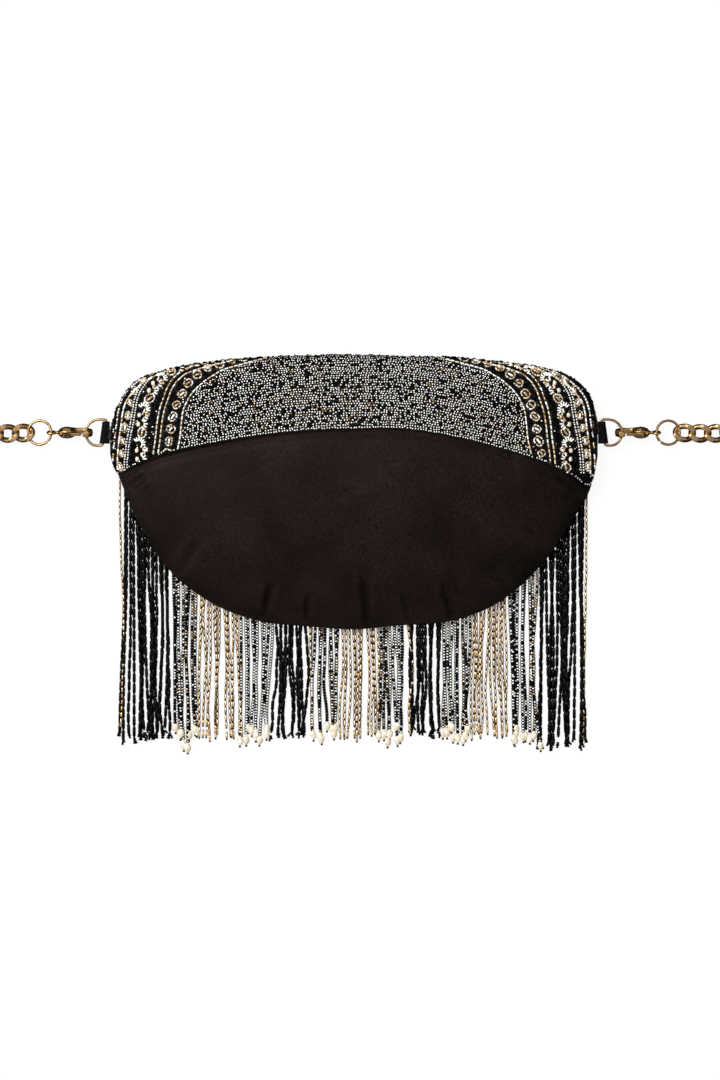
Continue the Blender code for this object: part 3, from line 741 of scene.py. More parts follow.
def model_bead(name):
    """One bead, a unit long and wide, with its hole along Z: a barrel or tube that has its
    full width at its rings and narrows to its ends."""
    sides, end, rings, turned = BEAD_SHAPES[name]
    deselect()
    bpy.ops.mesh.primitive_cylinder_add(
        vertices=sides, radius=0.5 * end, depth=1.0, rotation=(0, 0, math.pi / sides * turned)
    )
    bpy.ops.object.transform_apply(location=True, rotation=True, scale=True)
    bead = bpy.context.object
    bead.name = name
    bpy.ops.object.mode_set(mode="EDIT")
    for height in rings:
        bpy.ops.mesh.select_all(action="SELECT")
        bpy.ops.mesh.bisect(plane_co=(0, 0, height), plane_no=(0, 0, 1))
    select_where(bead, lambda place: abs(place.z) < 0.49)
    bpy.ops.transform.resize(value=(1 / end, 1 / end, 1))
    bpy.ops.object.mode_set(mode="OBJECT")
    return bead


def drop(*models):
    """Removes the models once their copies are made."""
    for model in models:
        bpy.data.meshes.remove(model.data)


# Satin pouch


CREASES = [
    # from x, y to x, y (mm, from the bag's middle at the chain's level), depth, half width
    (82.8, -10.0, 83.1, -20.5, 1.6, 0.6),
    (106.0, -24.5, 120.5, -32.5, 2.3, 1.5),
    (111.0, -20.0, 122.0, -26.5, 1.6, 1.2),
    (5.8, -78.0, 8.2, -103.0, 3.9, 1.9),
    (47.0, -80.0, 53.0, -98.5, 3.4, 1.8),
    (-43.0, -80.0, -47.0, -99.5, 3.3, 1.9),
    (-23.0, -84.0, -24.5, -101.5, 2.7, 1.7),
    (-81.0, -58.0, -91.0, -74.0, 1.6, 2.2),
    (27.0, -86.0, 30.5, -101.0, 2.4, 1.7),
    (91.0, -50.0, 101.0, -61.5, 1.4, 2.0),
    (-109.0, -23.0, -120.0, -31.0, 1.4, 1.8),
    (73.0, -71.0, 82.0, -82.0, 1.2, 1.8),
]
LIP_RISE, LIP_PLACE = 0.55, 1.9             # a crease's raised sides: share of depth, of width
CREASE_HALF, CREASE_FADE = 0.35, 0.03       # how far a crease keeps its depth, and how it fades
UNEVENNESS = [
    # metres across and up, slice of the noise, rise in mm
    (0.034, 0.026, 3.1, 0.55),
    (0.011, 0.016, 8.7, 0.16),
]
SEAM_DIP = 1.1 * MM                         # how far the satin falls in beside the flap's seam
SEAM_DIP_WIDTH = 2.0 * MM
HEM_DIP = 0.8 * MM                          # and along its own lower seam
HEM_DIP_WIDTH = 3.0 * MM


def wrinkles(x, y):
    """How far the satin stands out or falls in at a place on its face."""
    lifted = np.zeros(len(x))
    for x0, y0, x1, y1, depth, wide in CREASES:
        start, end = np.array([x0, y0]) * MM, np.array([x1, y1]) * MM
        way = end - start
        length = np.linalg.norm(way)
        way /= length
        along = ((x - start[0]) * way[0] + (y - start[1]) * way[1]) / length
        aside = (x - start[0]) * -way[1] + (y - start[1]) * way[0]
        fade = np.exp(-np.maximum(0, np.abs(along - 0.5) - CREASE_HALF) ** 2 / CREASE_FADE)
        share = aside / (wide * MM)
        lips = LIP_RISE * np.exp(-((np.abs(share) - LIP_PLACE) ** 2))
        lifted += depth * MM * fade * (lips - np.exp(-share ** 2))
    lifted -= SEAM_DIP * np.exp(-((y - seam_line(x) + SEAM_DIP_WIDTH) / SEAM_DIP_WIDTH) ** 2)
    lifted -= HEM_DIP * np.exp(-((y - belly_line(x) - HEM_DIP_WIDTH) / HEM_DIP_WIDTH) ** 2)
    for i in range(len(x)):
        lifted[i] += sum(
            rise * noise.noise(Vector((x[i] / across, y[i] / up, layer)))
            for across, up, layer, rise in UNEVENNESS
        ) * MM
    return lifted


SATIN_COLUMNS = 201
HEM_ROWS, FACE_ROWS, FOLD_ROWS, UNDER_ROWS = 9, 90, 13, 24
END_SWEEP = 0.93 * math.pi / 2              # columns crowd towards the ends, up to this angle
FACE_PUFF = 13 / 14                         # the share of the face that the puff takes
RIPPLE_HOLD = 0.22                          # how soon the folds reach full depth at the seams
RIPPLE_END = 12 * MM                        # and how far from the bag's ends they fade


def satin_grid():
    """The pouch's outer face as rings round it, from its left end to its right end."""
    sweep = np.sin(np.linspace(-1, 1, SATIN_COLUMNS) * END_SWEEP) / math.sin(END_SWEEP)
    x = POUCH_HALF * sweep[:, None]
    low, high = belly_line(x), pouch_top(x)
    seam, fold = LOWER_SEAM_HEIGHT / 2, fold_height(x) / 2
    start, stop = low + seam, high - fold
    lower = np.linspace(-math.pi / 2, -3 * math.pi / 2, HEM_ROWS)[None, :]
    share = np.linspace(0, 1, FACE_ROWS + 2)[None, 1:-1]
    face = mix(start, stop, share)
    upper = np.linspace(math.pi / 2, -math.pi / 2, FOLD_ROWS)[None, :]
    back = mix(stop, start, np.linspace(0, 1, UNDER_ROWS + 2)[None, 1:-1])
    puff = pouch_height(x, np.minimum(face, mix(start, stop, FACE_PUFF)))
    puff = mix(puff, 2 * fold, np.clip((share - FACE_PUFF) / (1 - FACE_PUFF), 0, 1))
    soft = np.sin(math.pi * np.clip(share * 1.03, 0, 1)) ** RIPPLE_HOLD
    ripple = wrinkles(np.broadcast_to(x, face.shape).ravel(), face.ravel()).reshape(face.shape)
    width = np.clip((POUCH_HALF - np.abs(x)) / RIPPLE_END, 0, 1) ** 0.6
    puff = puff + ripple * soft * width
    y = np.hstack([start + seam * np.cos(lower), face, stop + fold * np.cos(upper), back])
    z = np.hstack([
        np.broadcast_to(seam + seam * np.sin(lower), (SATIN_COLUMNS, HEM_ROWS)), puff,
        fold + fold * np.sin(upper), np.zeros_like(back),
    ])
    grid = np.empty((*y.shape, 3))
    grid[..., 0] = x
    grid[..., 1] = y + CHAIN_LEVEL
    grid[..., 2] = z + POUCH_FLOOR
    return grid


def make_satin_pouch(sizes, colours):
    """The padded satin pouch, closed over its mouth, which the flap hides."""
    pouch = grid_piece("satin_pouch", satin_grid(), wrap=True)
    pick(pouch)
    bpy.ops.object.mode_set(mode="EDIT")
    bpy.ops.mesh.select_all(action="DESELECT")
    bpy.ops.mesh.select_mode(type="VERT")
    bpy.ops.mesh.select_non_manifold()
    bpy.ops.mesh.fill_holes(sides=0)
    bpy.ops.mesh.select_all(action="SELECT")
    bpy.ops.mesh.normals_make_consistent(inside=False)
    bpy.ops.object.mode_set(mode="OBJECT")
    pouch.data.materials.append(material_named("black_brown_satin", satin_material))
    pouch.data.shade_smooth()
    carry(pouch, ["pouch"])
    return pouch


# Beaded flap


def make_flap_cloth(sizes, colours):
    """The backing cloth of the flap, folded over the pouch's top edge."""
    y, z, _ = flap_curves(FIT_GAP)
    front = BACK_POINTS + TURN_POINTS
    kept = np.r_[0:BACK_POINTS:3, BACK_POINTS:front - 1:2, front:y.shape[1]:4]
    kept = np.unique(np.append(kept, y.shape[1] - 1))
    grid = np.empty((FLAP_COLUMNS // 3 + 1, len(kept), 3))
    grid[..., 0] = COLUMN_X[::3, None]
    grid[..., 1] = y[::3][:, kept] + CHAIN_LEVEL
    grid[..., 2] = z[::3][:, kept]
    cloth = grid_piece("flap_cloth", grid)
    pick(cloth)
    bpy.ops.object.mode_set(mode="EDIT")
    bpy.ops.mesh.select_all(action="SELECT")
    bpy.ops.mesh.normals_make_consistent(inside=False)
    bpy.ops.object.mode_set(mode="OBJECT")
    outward = 1 if cloth.data.polygons[0].normal.z > 0 else -1
    apply_modifier(cloth, "SOLIDIFY", thickness=sizes.cloth, offset=outward)
    cloth.data.materials.append(material_named("black_cotton_backing", cloth_material))
    cloth.data.shade_smooth()
    carry(cloth, ["flap"])
    return cloth


def band_line(name, side):
    """A fine line of x and y along one band, from its seam end up over the bag's side."""
    heights = np.array([row[0] for row in BANDS], float) * MM
    places = np.array([row[1 + BAND_NAMES.index(name)] for row in BANDS], float) * MM
    fine = np.linspace(heights[0], heights[-1], 400)
    x = side * smooth_through(heights, places, fine)
    return x, fine


def smooth_through(marks, values, at):
    """Values at places between marks, by a smooth curve."""
    slopes = np.gradient(values, marks)
    here = np.clip(np.searchsorted(marks, at) - 1, 0, len(marks) - 2)
    step = marks[here + 1] - marks[here]
    share = (at - marks[here]) / step
    return between(
        values[here], values[here + 1], slopes[here] * step, slopes[here + 1] * step, share
    )


def walk(x, y, pitch, shift=0.0):
    """Places a pitch apart along a fine line, and the line's direction there."""
    lengths = np.concatenate([[0], np.cumsum(np.hypot(np.diff(x), np.diff(y)))])
    at = np.arange(shift, lengths[-1], pitch)
    near = np.minimum(at + STEP, lengths[-1])
    before = np.maximum(at - STEP, 0)
    px, py = np.interp(at, lengths, x), np.interp(at, lengths, y)
    way = np.stack([
        np.interp(near, lengths, x) - np.interp(before, lengths, x),
        np.interp(near, lengths, y) - np.interp(before, lengths, y),
    ], axis=1)
    return px, py, unit(way)


UNEVEN = 0.12                               # share by which hand-sewn motifs differ
STEP = 0.3 * MM                             # either side of a place, to find a line's direction
BRIGHT = [SILVER, CHAMPAGNE, CHAMPAGNE, GOLD]
EDGE_ROWS = [
    # band, pitch, length, width (mm), finishes with repeats as weights, tubes, start, aside (mm)
    ("edge", 1.75, 1.45, 1.0, [SILVER, SILVER, SILVER, GOLD], False, 0, 0),
    ("edge", 1.35, 1.2, 1.0, [BLACK], False, 0, 1.25),
    ("edge", 2.3, 2.1, 0.95, [SILVER, SILVER, GOLD], True, 0, 2.5),
]
SEED_ROWS = [
    # band, pitch, length, width (mm), finishes, tubes, start, aside (mm)
    ("seeds", 1.32, 0.80, 0.85, [SILVER], False, 0, -0.75),
    ("seeds", 1.32, 0.80, 0.85, [SILVER], False, 0, 0.75),
]
TUBE_ROWS = [
    # band, pitch, length, width (mm), finishes, tubes, start, aside (mm)
    ("outer_bugles", 2.6, 2.15, 0.85, BRIGHT, True, 0, 0),
    ("inner_bugles", 2.6, 2.15, 0.85, [SILVER, SILVER, CHAMPAGNE], True, 0, 0),
    ("outer_bugles", 1.3, 1.2, 1.0, [BLACK], False, 0, 1.25),
    ("outer_bugles", 2.6, 2.15, 0.85, BRIGHT, True, 1.0, 2.5),
]
# Motifs repeat at a pitch from a start along their band
RING_WALK, FLOWER_WALK, MOTIF_WALK = (6.8 * MM, 3.0 * MM), (4.6 * MM, 2.2 * MM), (6.5 * MM, 3.4 * MM)
# Each small ring of beads: half across, half along, number of beads
RING_SHAPE, FLOWER_SHAPE = (1.25 * MM, 2.0 * MM, 9), (2.1 * MM, 2.7 * MM, 12)
BUD_SHAPE, MOTIF_SHAPE = (1.0 * MM, 1.0 * MM, 6), (1.75 * MM, 2.15 * MM, 11)
RING_BEAD, RING_TUBE = 0.92 * MM, 1.15 * MM  # width of a ring's beads, and of the tube inside it
PETAL_REACH, PETAL_LENGTH, PETAL_WIDTH = 2.6 * MM, 2.2 * MM, 0.85 * MM
PEARL_PETALS = [
    # the pearl's place aside and its size (mm), the petals' spread and finishes
    (2.3, 2.4, 2.2, [SILVER, SILVER, GOLD]),
    (2.6, 2.3, 2.4, [SILVER, GOLD]),
]


class Needlework:
    """Sews chosen beads on the flap's back, and remembers where they are."""

    def __init__(self, surface, seed):
        self.surface = surface
        self.beads = Beads()
        self.tubes = Beads()
        self.taken = []
        self.chance = np.random.default_rng(seed)
        self.top = surface.y.max(axis=1)

    def sew(self, x, y, way, length, width, kind, tube=False, depth=None):
        """Beads at x and y in the bag's plan, each with its hole along way."""
        x, y = np.atleast_1d(np.asarray(x, float)), np.atleast_1d(np.asarray(y, float))
        way = np.broadcast_to(way, (len(x), 2))
        kind = np.broadcast_to(kind, len(x))
        low = seam_line(x) + 0.5 * MM
        high = np.interp(x, COLUMN_X, self.top) - 0.05 * MM
        kept = (y > low) & (y < high) & (np.abs(x) < HALF_WIDTH - 0.3 * MM)
        if not kept.any():
            return
        x, y, way, kind = x[kept], y[kept], way[kept], kind[kept]
        s = self.surface.along_back(x, y)
        places, row, outward = self.surface.place(x, s)
        flat = np.column_stack([way, np.zeros(len(x))])
        axes = unit(flat - outward * np.sum(flat * outward, axis=1, keepdims=True))
        tints = self.chance.uniform(0, 1, len(x))
        target = self.tubes if tube else self.beads
        target.add(places, axes, outward, length, width, kind, tints, depth)
        reach = 0.5 * (length - width) if tube else 0.0
        for part in ((-1, 0, 1) if tube else (0,)):
            self.taken.append(places + axes * reach * part)

    def lines(self, rows, side):
        """Rows of beads along their bands."""
        for name, pitch, length, width, kinds, tube, start, aside in rows:
            x, y = band_line(name, side)
            px, py, way = walk(x, y, pitch * MM, start * MM)
            off = aside * MM * side
            px, py = px - way[:, 1] * off, py + way[:, 0] * off
            drawn = self.chance.choice(kinds, len(px))
            self.sew(px, py, way, length * MM, width * MM, drawn, tube)

    def oval(self, cx, cy, turn, shape, kinds, inner=None, square=2.0):
        """A small ring of beads, with a tube bead inside it where inner names its finish."""
        half_across, half_along, count = shape
        angles = np.arange(count) / count * 2 * math.pi + self.chance.uniform(0, 0.4)
        half_across, half_along = self.chance.normal(1, UNEVEN, 2) * (half_across, half_along)
        turn += self.chance.normal(0, 2 * UNEVEN)
        u = np.sign(np.cos(angles)) * np.abs(np.cos(angles)) ** (2 / square) * half_across
        v = np.sign(np.sin(angles)) * np.abs(np.sin(angles)) ** (2 / square) * half_along
        du, dv = np.roll(u, -1) - np.roll(u, 1), np.roll(v, -1) - np.roll(v, 1)
        c, s = math.cos(turn), math.sin(turn)
        way = unit(np.stack([du * c - dv * s, du * s + dv * c], axis=1))
        x, y = cx + u * c - v * s, cy + u * s + v * c
        length = float(np.mean(np.hypot(du, dv) / 2)) * 0.97
        self.sew(x, y, way, length, RING_BEAD, self.chance.choice(kinds, count))
        if inner is not None:
            self.sew(cx, cy, (-s, c), 1.25 * half_along, RING_TUBE, inner, tube=True)

    def fan(self, cx, cy, facing, count, spread, kinds):
        """Tube beads that spread from a point like petals."""
        for i in range(count):
            a = facing + spread * (i / (count - 1) - 0.5)
            way = (math.cos(a), math.sin(a))
            x, y = cx + way[0] * PETAL_REACH, cy + way[1] * PETAL_REACH
            kind = int(self.chance.choice(kinds))
            self.sew(x, y, way, PETAL_LENGTH, PETAL_WIDTH, kind, tube=True)


def sew_flower(work, number, cx, cy, along, side):
    """One of the four motifs that follow each other along the flower band."""
    step = number % 4
    if step == 0:
        turn = along - math.pi / 2 + 0.5 * side
        work.oval(cx, cy, turn, FLOWER_SHAPE, BRIGHT, inner=GOLD)
    elif step == 3:
        root = cx + side * 1.6 * MM
        work.fan(root, cy - 1.2 * MM, math.pi / 2 + 0.5 * side, 7, 2.6, [SILVER])
    else:
        aside, pearl, spread, kinds = PEARL_PETALS[step - 1]
        work.sew(cx + side * aside * MM, cy, (0, 1), pearl * MM, pearl * MM, PEARL)
        work.fan(cx + side * 1.0 * MM, cy, math.pi if side > 0 else 0.0, 5, spread, kinds)
        if step == 2:
            work.oval(cx - side * 1.8 * MM, cy + 0.4 * MM, along, BUD_SHAPE, [GOLD, SILVER])


def sew_side_bands(work, side):
    """All the bands at one side of the flap's back."""
    work.lines(EDGE_ROWS, side)
    for cx, cy, way in zip(*walk(*band_line("rings", side), *RING_WALK)):
        turn = math.atan2(way[1], way[0]) - math.pi / 2 + work.chance.uniform(-0.5, 0.1) * side
        kinds = [GOLD, CHAMPAGNE, CHAMPAGNE]
        work.oval(cx - side * 0.6 * MM, cy, turn, RING_SHAPE, kinds, inner=SILVER)
    work.lines(SEED_ROWS, side)
    flowers = zip(*walk(*band_line("flowers", side), *FLOWER_WALK))
    for number, (cx, cy, way) in enumerate(flowers):
        sew_flower(work, number, cx, cy, math.atan2(way[1], way[0]), side)
    work.lines(TUBE_ROWS, side)
    for cx, cy, way in zip(*walk(*band_line("motifs", side), *MOTIF_WALK)):
        turn = math.atan2(way[1], way[0]) - math.pi / 2 + 0.45 * side
        inner = int(work.chance.choice([GOLD, SILVER]))
        work.oval(cx, cy, turn, MOTIF_SHAPE, BRIGHT, inner=inner, square=2.8)


def inner_share(x, y):
    """How far inside the inner tube lines a place on the back is, in metres."""
    heights = np.array([row[0] for row in BANDS], float) * MM
    places = np.array([row[-1] for row in BANDS], float) * MM
    return smooth_through(heights, places, np.clip(y, heights[0], heights[-1])) - np.abs(x)


ROW_START, ROW_END = 0.75 * MM, 0.6 * MM    # from the seam, and from the flap's lower edge
ROW_INSET = 0.8 * MM                        # from the flap's sides
BEAD_GAP = 1.03                             # a row's pitch against a bead's length
LOOSE_ALONG, LOOSE_ASIDE = 0.14 * MM, 0.15 * MM


def ground_rows(surface, sizes, chance):
    """Seed beads in rows beside the seam, over the fold and down the front: x, and length
    from the seam."""
    found = []
    longest = surface.length.max()
    fine = np.linspace(-HALF_WIDTH + ROW_INSET, HALF_WIDTH - ROW_INSET, 900)
    s = ROW_START
    while s < longest - ROW_END:
        line = surface.raw(fine, np.full(len(fine), s))
        lengths = np.concatenate([[0], np.cumsum(np.linalg.norm(np.diff(line, axis=0), axis=1))])
        pitch = sizes.seed_length * BEAD_GAP
        at = np.arange(chance.uniform(0, pitch), lengths[-1], pitch)
        at = at + chance.normal(0, LOOSE_ALONG, len(at))
        x = np.interp(at, lengths, fine)
        x = x[surface.length_at(x) > s + ROW_END]
        found.append(np.column_stack([x, s + chance.normal(0, LOOSE_ASIDE, len(x))]))
        s += sizes.row_spacing
    rows = np.concatenate(found)
    return rows[:, 0], rows[:, 1]


def clear_of(places, taken, reach):
    """Which places have no taken place within reach."""
    tree = kdtree.KDTree(len(taken))
    for i, place in enumerate(taken):
        tree.insert(place, i)
    tree.balance()
    return np.array([tree.find(place)[2] > reach for place in places])


FIELD_BLACK, FIELD_GOLD = 0.19, 0.27        # running shares in the field; the rest is silver
BORDER_SILVER, BORDER_GOLD = 0.05, 0.065    # running shares beside it; the rest is black
SEAM_ROWS, SEAM_SILVER = 1.6 * MM, 0.6      # the rows along the seam, and their silver share
BACK_REACH = 5.0 * MM                       # how far past the fold the finer beads go
BAND_CLEAR = 0.98 * MM                      # kept free round the bands' own beads
BEAD_TURN = 0.35                            # radians by which loose beads turn
FOLD_BRIGHT = 0.12                          # share of the fold's beads that aren't black
FOLD_EDGE = 1.7 * MM                        # beads this near the fold's edge are black
FOLD_BUMP = 0.7 * MM                        # and stand proud by up to this


def make_flap_beads(sizes, colours):
    """All the beads on the flap: bands, field and front."""
    lift = FIT_GAP + sizes.cloth + 0.44 * sizes.seed_width
    surface = FlapSurface(lift)
    work = Needlework(surface, sizes.random_seed)
    for side in (-1, 1):
        sew_side_bands(work, side)
    chance = np.random.default_rng(sizes.random_seed + 1)
    x, s = ground_rows(surface, sizes, chance)
    places, row, outward = surface.place(x, s)
    turn = chance.normal(0, BEAD_TURN, len(x))
    ahead = np.cross(outward, row)
    axes = row * np.cos(turn)[:, None] + ahead * np.sin(turn)[:, None]
    back = s < surface.apex_at(x) + BACK_REACH
    near = np.ones(len(x), bool)
    near[back] = clear_of(places[back], np.concatenate(work.taken), BAND_CLEAR)
    inside = inner_share(x, places[:, 1] - CHAIN_LEVEL)
    draw = chance.uniform(0, 1, len(x))
    field = np.where(draw < FIELD_BLACK, BLACK, np.where(draw < FIELD_GOLD, GOLD, SILVER))
    border = np.where(draw < BORDER_SILVER, SILVER, np.where(draw < BORDER_GOLD, GOLD, BLACK))
    kinds = np.where(inside > 0.5 * MM, field, border)
    kinds = np.where((s < SEAM_ROWS) & (draw < SEAM_SILVER), SILVER, kinds)
    edge = np.abs(s - surface.apex_at(x)) < FOLD_EDGE
    kinds = np.where(edge & (draw > FOLD_BRIGHT), BLACK, kinds)
    proud = chance.uniform(0, 1, len(x)) ** 2 * FOLD_BUMP
    places = places + outward * np.where(edge, proud, 0.0)[:, None]
    tints = chance.uniform(0, 1, len(x))
    width = sizes.seed_width * chance.normal(0.97, 0.05, len(x))
    seed = model_bead("seed_bead")
    bands = model_bead("band_bead")
    tube = model_bead("band_tube")
    small = model_bead("front_bead")

    def halves(kind, shown, model, painted_shade_finish):
        """The chosen beads as two joined pieces, left and right."""
        made = []
        for name, part in (("left", x < 0), ("right", x >= 0)):
            kept = shown & part
            beads = Beads()
            beads.add(
                places[kept], axes[kept], outward[kept], sizes.seed_length * 0.93, width[kept],
                kinds[kept], tints[kept],
            )
            made.append(beads.piece(kind + name, model, colours, painted_shade_finish))
        return made

    # Field beads: bright finish on the upper face only, painted highlight; black elsewhere, painted
    # shade
    pieces = halves("flap_field_beads_", back & near, seed, BLACK)
    pieces.append(work.beads.piece("flap_band_beads", bands, colours))
    pieces.append(work.tubes.piece("flap_band_tubes", tube, colours))
    pieces += halves("flap_front_beads_", ~back, small, None)
    drop(seed, bands, tube, small)
    for piece in pieces:
        carry(piece, ["flap"])
    return pieces


# Fringe


FRINGE_LAYERS = (0.88 * MM, 1.58 * MM)
SEED_MIXES = [
    [SILVER], [SILVER, SILVER, SILVER, BLACK], [SILVER, BLACK], [BLACK, BLACK, BLACK, SILVER],
    [SILVER, SILVER, BLACK, GOLD], [BLACK, BLACK, SILVER, GOLD],
]
CLUMP_STRANDS = 3                           # neighbours that lie together half way down
STRAND_SPREAD = {"black": 2.2 * MM, "gold": 1.9 * MM, "seeds": 0.9 * MM, "champagne": 1.2 * MM}
STRAND_WAVE = {"black": 0.7 * MM, "gold": 0.6 * MM, "seeds": 0.8 * MM, "champagne": 1.0 * MM}
END_ROOM = 6.5 * MM                         # left under a strand for what ends it
FRINGE_REACH = 0.968                        # how far sideways a strand may lie, as a share
RAGGED = {"black": 1.4 * MM, "gold": 1.4 * MM, "seeds": 2.4 * MM, "champagne": 1.4 * MM}
SEED_PITCH, SEED_LENGTH, SEED_WIDTH = 1.45 * MM, 1.4 * MM, 1.9 * MM
GOLD_TUBE = 0.6                             # a gold strand's tubes against the black ones
JOINT_LENGTH = 0.85 * MM
KINK_LENGTHS = (9 * MM, 15 * MM)            # half waves of a strand's small kinks
KINK_SHARE = 0.22                           # their width against its slow wave's
TURN = 6.3                                  # a wave starts anywhere in about a full turn
PEARL_DEPTH = 2.2 * MM
STRAND_ENDS = {
    # kind: each end bead's place down the strand, length, width, depth (mm) and finish
    "gold": [
        (0.7, 1.2, 1.6, 1.5, GOLD), (1.9, 1.2, 1.6, 1.5, CHAMPAGNE), (3.1, 1.2, 1.6, 1.5, GOLD),
        (4.2, 1.0, 1.2, 1.2, BLACK),
    ],
    "champagne": [(1.0, 1.4, 1.6, 1.6, GOLD), (2.4, 1.1, 1.4, 1.4, BLACK)],
}
CLUSTER_TURN = 0.35                         # radians by which a black cluster's branches spread


class Strand:
    """One strand's way down from the flap's lower edge."""

    def __init__(self, top_x, bottom_x, pull, end_y, height, wave, chance):
        top_y = float(flap_line(top_x)) + 1.5 * MM
        share = np.linspace(0, 1, 90)
        drop_length = top_y - end_y
        slow = chance.normal(0, wave) * np.sin(share * chance.uniform(4, 8) + chance.uniform(0, TURN))
        turns = drop_length / chance.uniform(*KINK_LENGTHS) * math.pi
        quick = chance.normal(0, KINK_SHARE * wave) * np.sin(share * turns + chance.uniform(0, TURN))
        wander = (slow - slow[0] + quick - quick[0]) * share ** 0.6
        self.x = mix(top_x, bottom_x, share ** 1.15) + wander + pull * np.sin(math.pi * share) ** 2
        self.y = mix(top_y, end_y, share) + CHAIN_LEVEL
        self.z = np.full(len(share), height)
        steps = np.hypot(np.diff(self.x), np.diff(self.y))
        self.along = np.concatenate([[0], np.cumsum(steps)])
        self.length = self.along[-1]

    def at(self, s):
        """Places at lengths along the strand, and its direction there."""
        places = np.column_stack([np.interp(s, self.along, part) for part in (self.x, self.y, self.z)])
        ahead = np.column_stack([
            np.interp(s + 1 * MM, self.along, part) - np.interp(s - 1 * MM, self.along, part)
            for part in (self.x, self.y, self.z)
        ])
        return places, unit(ahead)


UP = np.array([[0.0, 0.0, 1.0]])


def thread_beads(strand, beads, first, pitch, length, width, palette, chance):
    """Beads along a strand, a pitch apart, in finishes drawn from a palette."""
    s = np.arange(first, strand.length, pitch)
    if not len(s):
        return
    places, way = strand.at(s)
    kinds, tints = chance.choice(palette, len(s)), chance.uniform(0, 1, len(s))
    beads.add(
        places, way, np.repeat(UP, len(s), axis=0), length, width, kinds, tints,
        min(width, 1.5 * MM),
    )


def string_tubes(strand, tubes, joints, length, width, palette, joint_width, chance):
    """Tube beads along a strand, with a small black bead at each joint."""
    pitch = length + JOINT_LENGTH
    first = chance.uniform(0, pitch)
    thread_beads(strand, tubes, first, pitch, length, width, palette, chance)
    before = first - pitch / 2 if first > pitch / 2 else first + pitch / 2
    thread_beads(strand, joints, before, pitch, JOINT_LENGTH, joint_width, [BLACK], chance)


def make_fringe_strands(sizes, colours):
    """Strands of seed beads, of gold and of black tubes, each with its own ends."""
    chance = np.random.default_rng(sizes.random_seed + 5)
    seeds, joints, tubes, ends, pearls = Beads(), Beads(), Beads(), Beads(), Beads()
    tubes_of = {
        "black": (sizes.bugle_length, sizes.bugle_width, [BLACK], 1.45 * MM),
        "gold": (
            GOLD_TUBE * sizes.bugle_length, 1.3 * MM, [CHAMPAGNE, CHAMPAGNE, CHAMPAGNE, GOLD], 1.2 * MM,
        ),
        "champagne": (2.4 * MM, 1.2 * MM, [CHAMPAGNE, GOLD], 1.1 * MM),
    }
    number = 0
    for left, right, kind, count, drop_share in GROUPS:
        group_pull = chance.normal(0, 0.3 * MM)
        for k in range(count):
            number += 1
            top_x = HALF_WIDTH * mix(left, right, (k + 0.5) / count) + chance.normal(0, 0.25 * MM)
            middle = min(1, (k // CLUMP_STRANDS + 0.5) * CLUMP_STRANDS / count)
            clump = HALF_WIDTH * mix(left, right, middle)
            pull = (clump - top_x) * chance.uniform(0.0, 0.6) + group_pull
            bottom_x = top_x + chance.normal(0, STRAND_SPREAD[kind])
            bottom_x = min(max(bottom_x, -FRINGE_REACH * HALF_WIDTH), FRINGE_REACH * HALF_WIDTH)
            end_y = -sizes.fringe_drop * drop_share + chance.normal(0, RAGGED[kind]) + END_ROOM
            height = FRINGE_LAYERS[number % 2]
            strand = Strand(top_x, bottom_x, pull, end_y, height, STRAND_WAVE[kind], chance)
            if kind == "seeds":
                palette = SEED_MIXES[int(chance.choice(len(SEED_MIXES)))]
                thread_beads(
                    strand, seeds, 0, SEED_PITCH, SEED_LENGTH, SEED_WIDTH, palette, chance
                )
            else:
                string_tubes(strand, tubes, joints, *tubes_of[kind], chance)
            finish_strand(strand, kind, ends, pearls, sizes, chance)
    shade_rimmed_seed = model_bead("fringe_seed")
    joint = model_bead("fringe_joint")
    tube = model_bead("fringe_tube")
    pearl = model_pearl("rice_pearl")
    # Seeds and tubes: own finish on the upper face only, painted highlight; black or dark amber
    # elsewhere, painted shade
    pieces = [
        seeds.piece("fringe_seed_beads", shade_rimmed_seed, colours, painted_shade_finish=BLACK),
        joints.piece("fringe_joint_beads", joint, colours),
        tubes.piece("fringe_tube_beads", tube, colours, painted_shade_finish=PAINTED_SHADE_AMBER),
        ends.piece("fringe_end_beads", joint, colours),
        pearls.piece("fringe_pearls", pearl, colours),
    ]
    drop(shade_rimmed_seed, joint, tube, pearl)
    for piece in pieces:
        carry(piece, ["fringe"])
    return pieces


def finish_strand(strand, kind, ends, pearls, sizes, chance):
    """What hangs at a strand's end: a rice pearl, amber beads or a small black cluster."""
    foot = np.array([strand.x[-1], strand.y[-1], strand.z[-1]])
    way = unit(np.array([[strand.x[-1] - strand.x[-4], strand.y[-1] - strand.y[-4], 0.0]]))
    tint = chance.uniform(0, 1)
    if kind == "seeds":
        half = sizes.pearl_length / 2
        level = max(min(foot[2], 1.45 * MM), 1.25 * MM)
        middle = np.array([[foot[0], foot[1], level]]) + way * half
        pearls.add(
            middle, way, UP, sizes.pearl_length, sizes.pearl_width, PEARL, tint, depth=PEARL_DEPTH
        )
        ends.add(middle + way * (half + 0.5 * MM), way, UP, 1.0 * MM, 1.4 * MM, BLACK, tint)
    for down, length, width, depth, finish in STRAND_ENDS.get(kind, ()):
        ends.add(
            foot[None] + way * down * MM, way, UP, length * MM, width * MM, finish, tint,
            depth=depth * MM,
        )
    if kind == "black":
        for turn in chance.normal(0, CLUSTER_TURN, 3):
            c, s = math.cos(turn), math.sin(turn)
            branch = np.array([[way[0, 0] * c - way[0, 1] * s, way[0, 0] * s + way[0, 1] * c, 0.0]])
            for k in range(int(chance.integers(2, 4))):
                place = foot[None] + branch * (0.7 + 1.1 * k) * MM
                ends.add(place, branch, UP, 1.1 * MM, 1.5 * MM, BLACK, tint)


